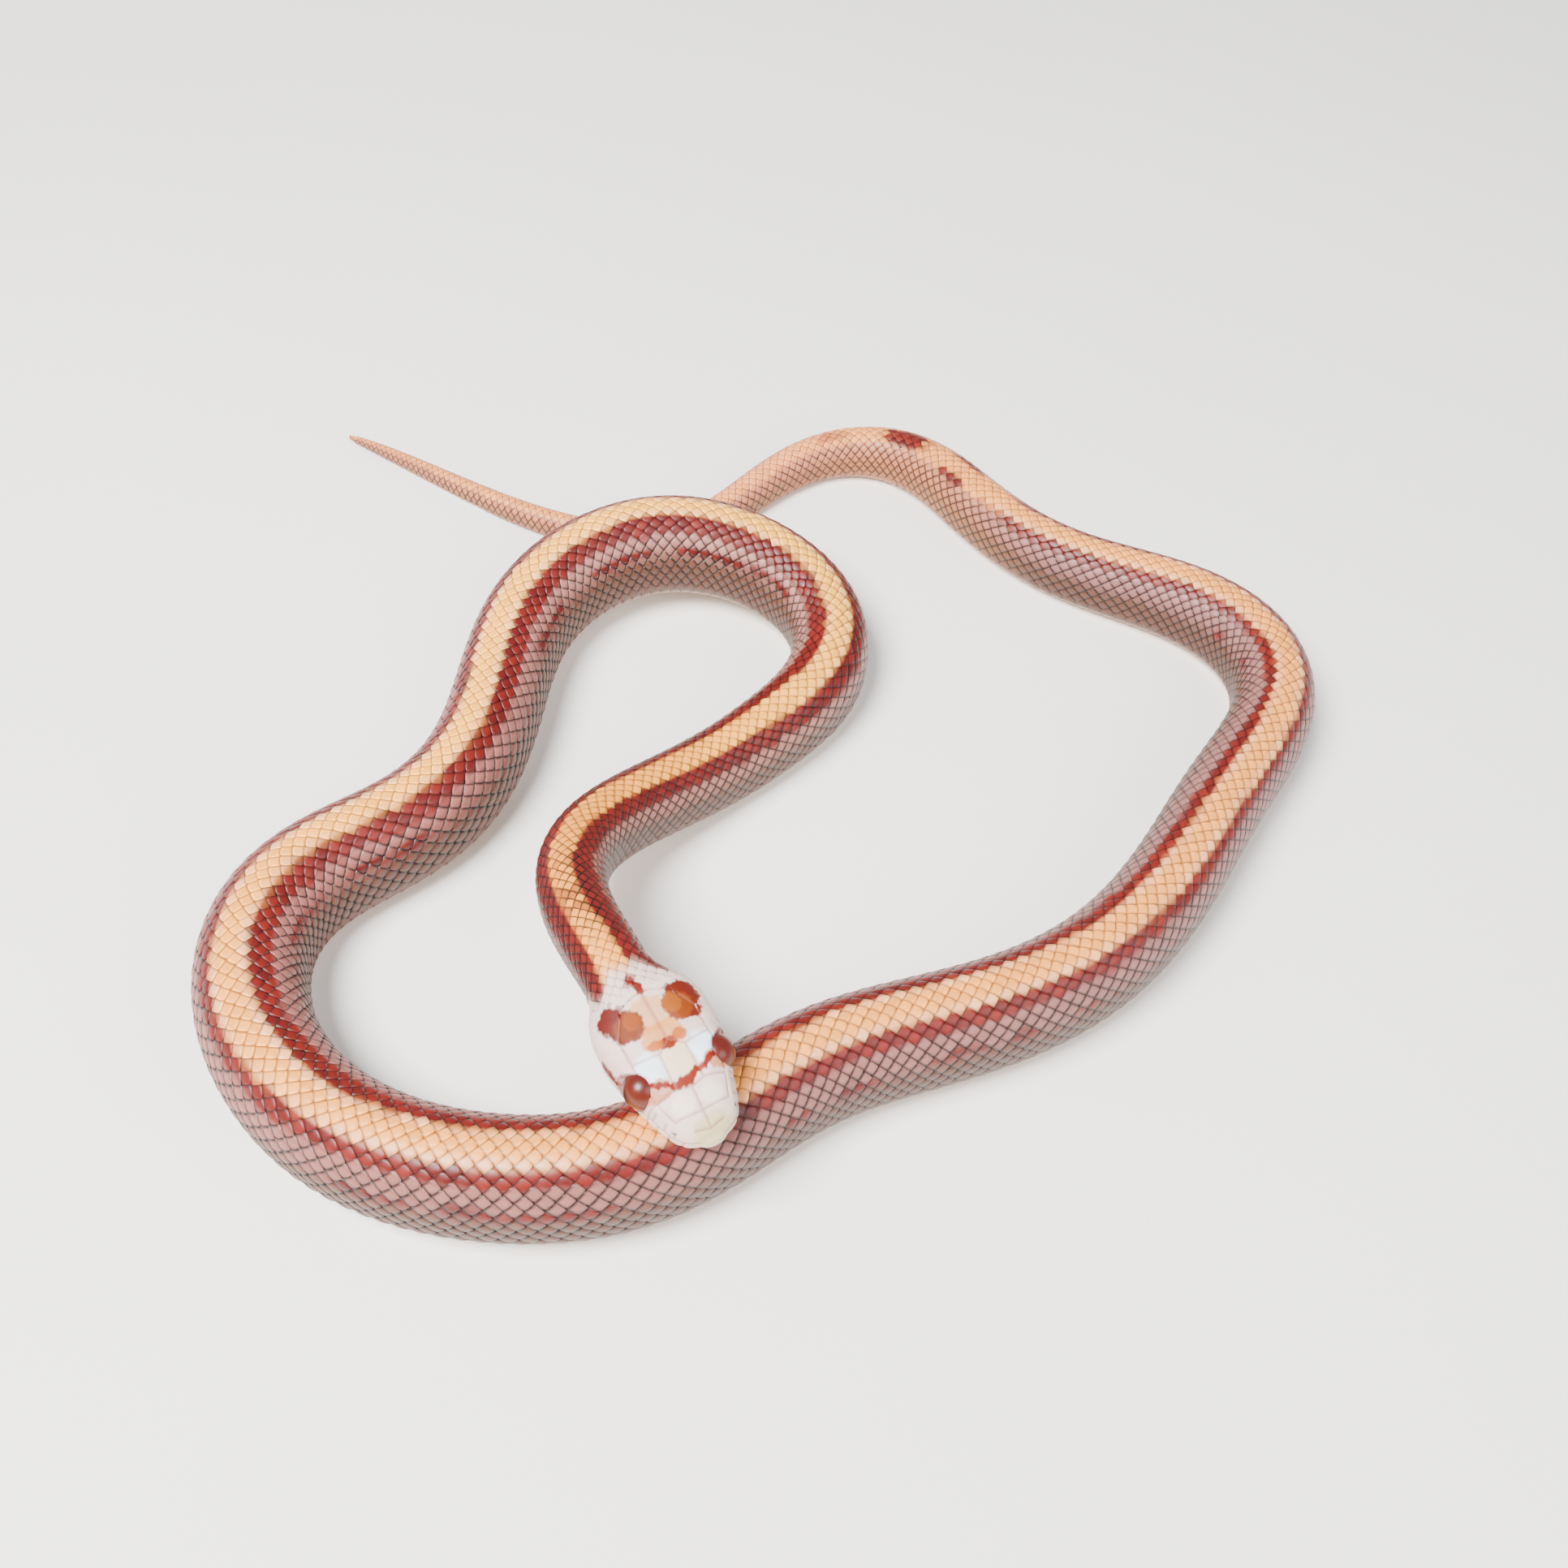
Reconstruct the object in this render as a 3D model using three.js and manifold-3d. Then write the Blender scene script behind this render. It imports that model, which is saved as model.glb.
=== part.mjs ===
// A young corn snake at rest, coiled in loose bends with its head lying on its own body.
// Millimetres, +Z up, the floor at z = 0, the snout towards -Y.
import * as THREE from "three";
import Module from "manifold-3d";

const wasm = await Module();
wasm.setup();
const { Manifold, Mesh: SolidMesh } = wasm;

// Body path: the middle of the back seen from above, from the nape to the tail tip
const BODY_LENGTH = 585.2;
const START_X = -19.15;
const START_Y = 96.3;
const START_HEADING = 119.5;
const BEND_STEP = 20;
// degrees turned per step, at every step from the nape, left turns positive
const BENDS = [
  12.4, -66.9, -13.2, 10.6, 77.9, 44.6, 44.9, 45.8, -14.5, -42.7, 63.9, 40.4, 32.7, 22.5, 32.6,
  -23.8, 7.9, 24.4, 11.0, -4.5, 67.5, 36.7, -24.5, -7.6, 74.0, 27.9, -57.6, -21.1, -3.6, 2.7,
];
const CENTRE_X = 0.4;
const CENTRE_Y = 141.99;

// Body section: half width along the body, height against width, the flat belly
const HALF_WIDTH = [
  [0, 4.2], [40, 4.8], [85, 5.8], [122, 6.45], [165, 6.35], [216, 6.85], [290, 6.75], [340, 6.2],
  [400, 5.7], [442, 4.75], [465, 4.4], [485, 3.5], [507, 2.75], [527, 2.2], [549, 1.75],
  [575, 1.0], [585.2, 0.45],
];
const HEIGHT_TO_WIDTH = 1.156;
const BELLY_FLAT = 1.04;
const BELLY_SQUARENESS = 3;
const SIDES = 18;
const RING_STEP = 3.6;

// Lifts: the neck rises to the head, and one loop stands a little off the floor
const NAPE_HEIGHT = 20.5;
const NECK_RISE_LENGTH = 57;
const LOOP_LIFT = 2.9;
const LOOP_MIDDLE = 115;
const LOOP_REACH = 37;

const GAP = 0.3;

// Belly plates: wide scutes across the underside, half as many as the real ones, each rising from
// under the last to a free rear edge on the flanks
const SCUTE_RAISE = 0.24;
const SCUTE_PITCH = 4.4;
const SCUTE_STEP = 0.35;
const LAST_SCUTE = 560;
const SCUTE_RISE = [[100, 0], [112, 0.6], [128, 1], [145, 0.75], [162, 0]];

// Lengths of the body: name and where each ends, from the nape
const LENGTHS = [
  ["neck", 30],
  ["forebody_1", 66],
  ["forebody_2", 92],
  ["forebody_3", 118],
  ["forebody_4", 146],
  ["forebody_5", 180],
  ["midbody_1", 206],
  ["midbody_2", 232],
  ["midbody_3", 262],
  ["midbody_4", 296],
  ["midbody_5", 334],
  ["midbody_6", 372],
  ["hindbody_1", 398],
  ["hindbody_2", 424],
  ["hindbody_3", 456],
  ["hindbody_4", 482],
  ["tail_base", 508],
  ["tail_middle", 528],
  ["tail_rear", 548],
  ["tail_tip", BODY_LENGTH],
];

// Head: length, heading, tilt, how far it stands to its left of the neck, and its outline as
// [distance from the nape, size]
const HEAD_LENGTH = 23.6;
const HEAD_HEADING = -59.5;
const HEAD_TILT = 2.5;
const HEAD_SHIFT = 0.6;
const SHIFT_LENGTH = 5;
const HEAD_HALF_WIDTH = [
  [0, 4.2], [2, 4.75], [4.8, 6.45], [7.5, 7.1], [10, 7.15], [12.3, 6.85], [15, 6.2], [17.4, 5.6],
  [20, 4.75], [22, 3.75], [23, 2.75], [23.6, 1.3],
];
const HEAD_TOP = [
  [0, 4.85], [4, 4.5], [8, 4.65], [12, 4.7], [15, 4.45], [18, 3.75], [21, 2.75], [22.8, 1.7],
  [23.6, 0.7],
];
const HEAD_BOTTOM = [
  [0, 4.85], [4, 4.25], [8, 3.95], [12, 3.65], [16, 3.15], [20, 2.5], [22.3, 1.8],
  [23.6, 0.8],
];
const HEAD_SIDES = 24;

// Mouth: corner behind the eye, rising line to the snout
const MOUTH_CORNER = 7.5;
const MOUTH_LINE = [[6, -1.9], [9, -1.7], [12, -1.15], [16, -1.05], [20, -0.95], [25, -0.7]];

// Eyes: round, set low in the sides of the head
const EYE_AT = 15.0;
const EYE_OUT = 4.65;
const EYE_UP = 1.6;
const EYE_RADIUS = 2.3;

// Nostrils: small pits in the sides of the snout
const NOSTRIL = [21.2, 4.1, 1.0];
const NOSTRIL_RADIUS = 0.42;

// Head plates: how far they stand out, the gap between them, and their outlines on the left half
const PLATE_RAISE = 0.2;
const BROW_RAISE = 0.38;
const PLATE_GAP = 0.13;
const TOP_PLATES = {
  internasal: [[22.7, 0], [22.4, 1.8], [21.5, 3.0], [20.7, 3.4], [20.9, 0]],
  prefrontal: [[20.9, 0], [20.7, 3.4], [18.2, 4.4], [17.8, 1.75], [18.2, 0]],
  parietal: [[12.2, 0], [13.4, 1.6], [13, 4.8], [9.4, 4.9], [6.2, 3], [5.4, 0.9], [5.4, 0]],
};
const FRONTAL = [[18.2, 0], [17.8, 1.75], [13.4, 1.6], [12.2, 0], [13.4, -1.6], [17.8, -1.75]];
const BROW = [[17.8, 1.75], [18.1, 4.4], [17, 5.3], [13.4, 5.8], [13, 4.8], [13.4, 1.6]];
const LIP_SEAMS = [8.6, 10.8, 12.9, 14.6, 16.2, 17.7, 19.2, 20.8, 22.3];
const LIP_HEIGHT = 1.35;
const LIP_ROOT = 1.2;

const COLOURS = {
  back: "#b4533a",
  pale: "#e3cfc2",
  head: "#e9d7cb",
  jaw: "#f0e3da",
  eye: "#4a1218",
  tail: "#e8b7a0",
};

// Curve through [place, size] pairs that never overshoots them
function curve(points) {
  const n = points.length;
  const slope = [];
  for (let i = 0; i + 1 < n; i++) {
    slope.push((points[i + 1][1] - points[i][1]) / (points[i + 1][0] - points[i][0]));
  }
  const tangent = points.map((_, i) => {
    if (i === 0) return slope[0];
    if (i === n - 1) return slope[n - 2];
    const [a, b] = [slope[i - 1], slope[i]];
    return a * b <= 0 ? 0 : (2 * a * b) / (a + b);
  });
  return (x) => {
    const at = Math.min(Math.max(x, points[0][0]), points[n - 1][0]);
    let i = 0;
    while (i < n - 2 && at > points[i + 1][0]) i++;
    const h = points[i + 1][0] - points[i][0];
    const t = (at - points[i][0]) / h;
    const [p, q] = [points[i][1], points[i + 1][1]];
    return (
      p * (1 + 2 * t) * (1 - t) ** 2 +
      h * tangent[i] * t * (1 - t) ** 2 +
      q * t * t * (3 - 2 * t) +
      h * tangent[i + 1] * t * t * (t - 1)
    );
  };
}

const halfWidth = curve(HALF_WIDTH);
const ease = (t) => {
  const c = Math.min(Math.max(t, 0), 1);
  return c * c * (3 - 2 * c);
};

// Degrees turned per step at any place, eased between the steps
function bendAt(s) {
  const last = BENDS.length - 1;
  const u = Math.min(Math.max(s / BEND_STEP, 0), last - 1e-9);
  const i = Math.floor(u);
  const t = u - i;
  const [p0, p1, p2, p3] = [i - 1, i, i + 1, i + 2].map(
    (j) => BENDS[Math.min(Math.max(j, 0), last)],
  );
  return p1 + 0.5 * t * (p2 - p0 + t * (2 * p0 - 5 * p1 + 4 * p2 - p3 + t * (3 * (p1 - p2) + p3 - p0)));
}

// The path walked in short strides, looked up by distance from the nape
const STRIDE = 0.5;
const walked = [];
{
  let [x, y] = [START_X - CENTRE_X, START_Y - CENTRE_Y];
  let heading = THREE.MathUtils.degToRad(START_HEADING);
  for (let s = 0; s <= BODY_LENGTH + STRIDE; s += STRIDE) {
    walked.push([x, y, heading]);
    const turn = (bendAt(s) + bendAt(s + STRIDE)) / 2;
    const next = heading + THREE.MathUtils.degToRad((turn * STRIDE) / BEND_STEP);
    x += Math.cos((heading + next) / 2) * STRIDE;
    y += Math.sin((heading + next) / 2) * STRIDE;
    heading = next;
  }
}

function heightAt(s) {
  const half = halfWidth(s) * HEIGHT_TO_WIDTH;
  const lifted = half + (NAPE_HEIGHT - half) * ease(1 - s / NECK_RISE_LENGTH);
  return lifted + LOOP_LIFT * ease(1 - Math.abs(s - LOOP_MIDDLE) / LOOP_REACH);
}

function pathAt(s) {
  const u = Math.min(Math.max(s, 0), BODY_LENGTH) / STRIDE;
  const i = Math.min(Math.floor(u), walked.length - 2);
  const [x, y] = walked[i].map((v, j) => v + (walked[i + 1][j] - v) * (u - i));
  return new THREE.Vector3(x, y, heightAt(s));
}

function frameAt(s) {
  const origin = pathAt(s);
  const ahead = pathAt(s + 0.4).sub(pathAt(s - 0.4)).normalize();
  const left = new THREE.Vector3(-ahead.y, ahead.x, 0).normalize();
  const up = ahead.clone().cross(left);
  return { origin, left, up };
}

// Closed solid through rings of points, with a fan over each end
function loft(rings) {
  const n = rings[0].length;
  const points = rings.flat();
  const faces = [];
  for (let r = 0; r + 1 < rings.length; r++) {
    for (let i = 0; i < n; i++) {
      const j = (i + 1) % n;
      const [a, b, c, d] = [r * n + i, r * n + j, (r + 1) * n + i, (r + 1) * n + j];
      faces.push([a, b, d], [a, d, c]);
    }
  }
  for (const [first, flip] of [[0, true], [(rings.length - 1) * n, false]]) {
    const middle = points.length;
    const sum = new THREE.Vector3();
    for (let i = 0; i < n; i++) sum.add(points[first + i]);
    points.push(sum.divideScalar(n));
    for (let i = 0; i < n; i++) {
      const j = first + ((i + 1) % n);
      faces.push(flip ? [middle, j, first + i] : [middle, first + i, j]);
    }
  }
  return solid(points, faces);
}

function solid(points, faces) {
  const made = new Manifold(
    new SolidMesh({
      numProp: 3,
      vertProperties: new Float32Array(points.flatMap((p) => [p.x, p.y, p.z])),
      triVerts: new Uint32Array(faces.flat()),
    }),
  );
  if (made.volume() > 0) return made;
  return solid(points, faces.map(([a, b, c]) => [a, c, b]));
}

// A point of the body's section: a rounded back over a squarer, flat belly
function bodyPoint(s, angle, inset) {
  const { origin, left, up } = frameAt(s);
  const wide = halfWidth(s) - inset;
  const tall = halfWidth(s) * HEIGHT_TO_WIDTH - inset;
  const [c, d] = [Math.cos(angle), Math.sin(angle)];
  let [across, rise] = [wide * d, tall * c];
  if (c < 0) {
    const power = 2 / BELLY_SQUARENESS;
    across = wide * Math.sign(d) * Math.abs(d) ** power;
    rise = -Math.min(tall * BELLY_FLAT * Math.abs(c) ** power, tall);
  }
  return origin.addScaledVector(left, across).addScaledVector(up, rise);
}

const scuteRise = curve(SCUTE_RISE);

// One ring of the body; drawn is 1 at the front edge of a belly plate and 0 at its rear edge
function bodyRing(s, drawn) {
  const ring = [];
  for (let i = 0; i < SIDES; i++) {
    const angle = (2 * Math.PI * (i + 0.5)) / SIDES;
    const fromBack = THREE.MathUtils.radToDeg(Math.min(angle, 2 * Math.PI - angle));
    ring.push(bodyPoint(s, angle, SCUTE_RAISE * drawn * scuteRise(fromBack)));
  }
  return ring;
}

function bodyLength(from, to) {
  const rings = [];
  const plated = Math.min(to, LAST_SCUTE);
  const count = Math.round((plated - from) / SCUTE_PITCH);
  const pitch = (plated - from) / count;
  for (let i = 0; i < count; i++) {
    rings.push(bodyRing(from + pitch * i, 1));
    rings.push(bodyRing(from + pitch * (i + 1) - (i + 1 < count ? SCUTE_STEP : 0), 0));
  }
  const steps = Math.round((to - plated) / RING_STEP);
  for (let i = 1; i <= steps; i++) rings.push(bodyRing(plated + ((to - plated) * i) / steps, 0));
  return loft(rings);
}

// Head frame: x from the nape to the snout, y to its left, z up
const nape = pathAt(0);
const headFrame = new THREE.Matrix4()
  .makeTranslation(nape.x, nape.y, NAPE_HEIGHT)
  .multiply(new THREE.Matrix4().makeRotationZ(THREE.MathUtils.degToRad(HEAD_HEADING)))
  .multiply(new THREE.Matrix4().makeRotationY(THREE.MathUtils.degToRad(HEAD_TILT)))
  .multiply(new THREE.Matrix4().makeTranslation(0, HEAD_SHIFT, 0));

const headWide = curve(HEAD_HALF_WIDTH);
const headTop = curve(HEAD_TOP);
const headBottom = curve(HEAD_BOTTOM);
const mouthLine = curve(MOUTH_LINE);

// The whole head in its own frame, grown outwards by a margin
function headSolid(margin) {
  const rings = [];
  const stations = 20;
  for (let r = 0; r <= stations; r++) {
    const t = r / stations;
    const x = HEAD_LENGTH * (1 - (1 - t) ** 1.35);
    const wide = headWide(x) + margin;
    const ring = [];
    for (let i = 0; i < HEAD_SIDES; i++) {
      const angle = (2 * Math.PI * (i + 0.5)) / HEAD_SIDES;
      const [c, d] = [Math.cos(angle), Math.sin(angle)];
      const power = c > 0 ? 0.82 : 0.9;
      const tall = (c > 0 ? headTop(x) : headBottom(x)) + margin;
      const across = wide * Math.sign(d) * Math.abs(d) ** power;
      const rise = tall * Math.sign(c) * Math.abs(c) ** power;
      const back = HEAD_SHIFT * (1 - ease(x / SHIFT_LENGTH));
      ring.push(new THREE.Vector3(x + (x > 23 ? margin : 0), across - back, rise));
    }
    rings.push(ring);
  }
  return loft(rings);
}

// Block below the mouth line, from the corner of the mouth forwards
function jawBlock(margin) {
  const stations = 14;
  const rings = [];
  for (let r = 0; r <= stations; r++) {
    const x = MOUTH_CORNER - margin + ((HEAD_LENGTH + 2 - MOUTH_CORNER + margin) * r) / stations;
    const top = mouthLine(x) + margin;
    rings.push([
      new THREE.Vector3(x, -12, top),
      new THREE.Vector3(x, 12, top),
      new THREE.Vector3(x, 12, -12),
      new THREE.Vector3(x, -12, -12),
    ]);
  }
  return loft(rings);
}

// Outline drawn in towards its middle by about the given gap
function drawnIn(outline, gap) {
  const n = outline.length;
  const middle = [0, 1].map((k) => outline.reduce((sum, p) => sum + p[k], 0) / n);
  return outline.map(([x, y]) => {
    const reach = Math.hypot(x - middle[0], y - middle[1]);
    const share = 1 - (gap * 1.35) / reach;
    return [middle[0] + (x - middle[0]) * share, middle[1] + (y - middle[1]) * share];
  });
}

// Upright prism over an outline seen from above, or one seen from the side
function prism(outline, low, high, turned) {
  const at = ([p, q], r) => (turned ? new THREE.Vector3(p, r, q) : new THREE.Vector3(p, q, r));
  return loft([outline.map((p) => at(p, low)), outline.map((p) => at(p, high))]);
}

// Plates of the crown, fused to the head and standing a little out of it
function crownPlates() {
  const plates = [];
  for (const outline of Object.values(TOP_PLATES)) {
    for (const side of [-1, 1]) plates.push(outline.map(([x, y]) => [x, y * side]));
  }
  plates.push(FRONTAL);
  const skin = headSolid(PLATE_RAISE);
  const made = plates.map((p) => skin.intersect(prism(drawnIn(p, PLATE_GAP), 0.6, 8, false)));
  const brow = headSolid(BROW_RAISE);
  for (const side of [-1, 1]) {
    const outline = BROW.map(([x, y]) => [x, y * side]);
    made.push(brow.intersect(prism(drawnIn(outline, PLATE_GAP), 2.2, 8, false)));
  }
  return made;
}

// Lip plates along one edge of the mouth: direction 1 is the upper lip, -1 the lower
function lipPlates(direction) {
  const skin = headSolid(PLATE_RAISE);
  const made = [];
  for (let i = 0; i + 1 < LIP_SEAMS.length; i++) {
    const shift = direction < 0 ? -0.8 : 0;
    const [a, b] = [LIP_SEAMS[i] + shift + PLATE_GAP, LIP_SEAMS[i + 1] + shift - PLATE_GAP];
    const edge = (x) => mouthLine(x) + (direction > 0 ? GAP + 0.12 : -0.12);
    const outline = [
      [a, edge(a)],
      [b, edge(b)],
      [b, edge(b) + direction * LIP_HEIGHT],
      [a, edge(a) + direction * LIP_HEIGHT],
    ];
    const root = headWide(b) - LIP_ROOT;
    for (const side of [-1, 1]) {
      made.push(skin.intersect(prism(outline, side * root * 0.8, side * 12, true)));
    }
  }
  return made;
}

function ball(radius, x, y, z, detail) {
  const sphere = new THREE.IcosahedronGeometry(radius, detail);
  const position = sphere.attributes.position;
  const found = new Map();
  const points = [];
  const index = [];
  for (let i = 0; i < position.count; i++) {
    const p = new THREE.Vector3().fromBufferAttribute(position, i);
    const key = [p.x, p.y, p.z].map((v) => Math.round(v * 1e4)).join();
    if (!found.has(key)) {
      found.set(key, points.length);
      points.push(p.add(new THREE.Vector3(x, y, z)));
    }
    index.push(found.get(key));
  }
  const faces = [];
  for (let i = 0; i < index.length; i += 3) faces.push(index.slice(i, i + 3));
  return solid(points, faces);
}

// Largest closed surface of a solid
function largest(made) {
  return made.decompose().reduce((a, b) => (b.volume() > a.volume() ? b : a));
}

const group = new THREE.Group();
group.name = "corn_snake";

function place(name, made, colour, roughness, frame) {
  const from = largest(made).getMesh();
  const geometry = new THREE.BufferGeometry();
  const flat = new Float32Array(from.numVert * 3);
  for (let i = 0; i < from.numVert; i++) {
    for (let j = 0; j < 3; j++) flat[i * 3 + j] = from.vertProperties[i * from.numProp + j];
  }
  geometry.setAttribute("position", new THREE.BufferAttribute(flat, 3));
  geometry.setIndex(new THREE.BufferAttribute(from.triVerts, 1));
  geometry.computeVertexNormals();
  const material = new THREE.MeshStandardMaterial({ color: colour, roughness, metalness: 0 });
  const mesh = new THREE.Mesh(geometry, material);
  mesh.name = name;
  if (frame) mesh.applyMatrix4(frame);
  group.add(mesh);
}

// Head, jaw and eyes
const whole = headSolid(0);
let upper = whole.subtract(jawBlock(GAP));
for (const plate of [...crownPlates(), ...lipPlates(1)]) upper = upper.add(plate);
for (const side of [-1, 1]) {
  upper = upper.subtract(ball(EYE_RADIUS + GAP, EYE_AT, side * EYE_OUT, EYE_UP, 3));
  upper = upper.subtract(ball(NOSTRIL_RADIUS, NOSTRIL[0], side * NOSTRIL[1], NOSTRIL[2], 1));
  const name = side > 0 ? "eye_left" : "eye_right";
  place(name, ball(EYE_RADIUS, EYE_AT, side * EYE_OUT, EYE_UP, 3), COLOURS.eye, 0.15, headFrame);
}
place("head", upper, COLOURS.head, 0.5, headFrame);
let jaw = whole.intersect(jawBlock(0));
for (const plate of lipPlates(-1)) jaw = jaw.add(plate);
place("lower_jaw", jaw, COLOURS.jaw, 0.5, headFrame);

// Body lengths, parted by thin cuts
let from = 0;
LENGTHS.forEach(([name, to], i) => {
  const start = from + (i === 0 ? GAP : GAP / 2);
  const end = to - (i === LENGTHS.length - 1 ? 0 : GAP / 2);
  const colour = name.startsWith("tail") ? COLOURS.tail : COLOURS.back;
  place(name, bodyLength(start, end), colour, 0.5);
  from = to;
});

export default group;
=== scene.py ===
import math

import bpy
import numpy as np
from mathutils import Matrix


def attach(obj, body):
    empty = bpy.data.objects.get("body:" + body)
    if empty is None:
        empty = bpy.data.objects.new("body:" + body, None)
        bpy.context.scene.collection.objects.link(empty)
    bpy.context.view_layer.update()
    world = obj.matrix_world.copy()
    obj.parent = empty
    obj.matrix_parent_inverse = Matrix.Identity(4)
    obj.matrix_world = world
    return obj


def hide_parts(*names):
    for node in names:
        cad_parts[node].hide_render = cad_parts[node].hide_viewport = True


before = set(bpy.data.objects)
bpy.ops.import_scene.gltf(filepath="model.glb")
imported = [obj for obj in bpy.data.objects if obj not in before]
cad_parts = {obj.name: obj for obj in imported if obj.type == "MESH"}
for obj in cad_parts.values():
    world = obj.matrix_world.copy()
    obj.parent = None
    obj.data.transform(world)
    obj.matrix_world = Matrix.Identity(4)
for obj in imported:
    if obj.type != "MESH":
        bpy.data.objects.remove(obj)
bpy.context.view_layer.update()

# Skin
# The hide is one closed tube from the snout to the tail tip, with no seams. It is smooth where the
# scales cover it, and on the head it is raised and cut into plates, lips, brows and nostrils.

# The middle of the back is walked from the nape along the same bends as the solids, in millimetres.
# The head continues it forwards, so one distance runs from the snout (negative) to the tail tip.
MILLIMETRE = 0.001
BODY_LENGTH = 585.2
CENTRE = (0.4, 141.99)
START = (-19.15 - CENTRE[0], 96.3 - CENTRE[1])
START_HEADING = 119.5
BEND_STEP = 20.0
# degrees turned in each step, left turns positive, fitted so that the coils lie as in the photo
BENDS = np.array([
    12.4, -66.9, -13.2, 10.6, 77.9, 44.6, 44.9, 45.8, -14.5, -42.7, 63.9, 40.4, 32.7, 22.5, 32.6,
    -23.8, 7.9, 24.4, 11.0, -4.5, 67.5, 36.7, -24.5, -7.6, 74.0, 27.9, -57.6, -21.1, -3.6, 2.7,
])
HALF_WIDTH = [
    (0, 4.2), (40, 4.8), (85, 5.8), (122, 6.45), (165, 6.35), (216, 6.85), (290, 6.75), (340, 6.2),
    (400, 5.7), (442, 4.75), (465, 4.4), (485, 3.5), (507, 2.75), (527, 2.2), (549, 1.75),
    (575, 1.0), (585.2, 0.45),
]
HEIGHT_TO_WIDTH = 1.156
BELLY_FLAT = 1.04
NAPE_HEIGHT = 20.5
NECK_RISE_LENGTH = 57.0
LOOP_LIFT, LOOP_MIDDLE, LOOP_REACH = 2.9, 115.0, 37.0
HEAD_LENGTH = 23.6
HEAD_HEADING = -59.5
HEAD_TILT = 2.5
HEAD_SHIFT, SHIFT_LENGTH = 0.6, 5.0
HEAD_HALF_WIDTH = [
    (0, 4.2), (2, 4.75), (4.8, 6.45), (7.5, 7.1), (10, 7.15), (12.3, 6.85), (15, 6.2), (17.4, 5.6),
    (20, 4.75), (22, 3.75), (23, 2.75), (23.6, 1.3),
]
HEAD_TOP = [
    (0, 4.85), (4, 4.5), (8, 4.65), (12, 4.7), (15, 4.45), (18, 3.75), (21, 2.75), (22.8, 1.7),
    (23.6, 0.7),
]
HEAD_BOTTOM = [
    (0, 4.85), (4, 4.25), (8, 3.95), (12, 3.65), (16, 3.15), (20, 2.5), (22.3, 1.8),
    (23.6, 0.8),
]
STATION = 0.25
# the turn at the nape is spread over this many stations on each side
NAPE_SPREAD, NAPE_SOFTNESS = 16, 6.0


def curve(points, x):
    """Values at x of a curve through (place, size) pairs that never overshoots them."""
    px, py = np.array(points, float).T
    slope = np.diff(py) / np.diff(px)
    tangent = np.zeros(len(px))
    tangent[0], tangent[-1] = slope[0], slope[-1]
    same = slope[:-1] * slope[1:] > 0
    tangent[1:-1][same] = 2 * slope[:-1][same] * slope[1:][same] / (slope[:-1] + slope[1:])[same]
    x = np.clip(x, px[0], px[-1])
    i = np.clip(np.searchsorted(px, x) - 1, 0, len(px) - 2)
    h = px[i + 1] - px[i]
    t = (x - px[i]) / h
    return (
        py[i] * (1 + 2 * t) * (1 - t) ** 2
        + h * tangent[i] * t * (1 - t) ** 2
        + py[i + 1] * t * t * (3 - 2 * t)
        + h * tangent[i + 1] * t * t * (t - 1)
    )


def ease(t):
    """0 to 1, level at both ends."""
    t = np.clip(t, 0, 1)
    return t * t * (3 - 2 * t)


def between(low, high, x):
    """0 below low, 1 above high, eased from one to the other."""
    return ease((np.asarray(x, float) - low) / (high - low))


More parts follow.
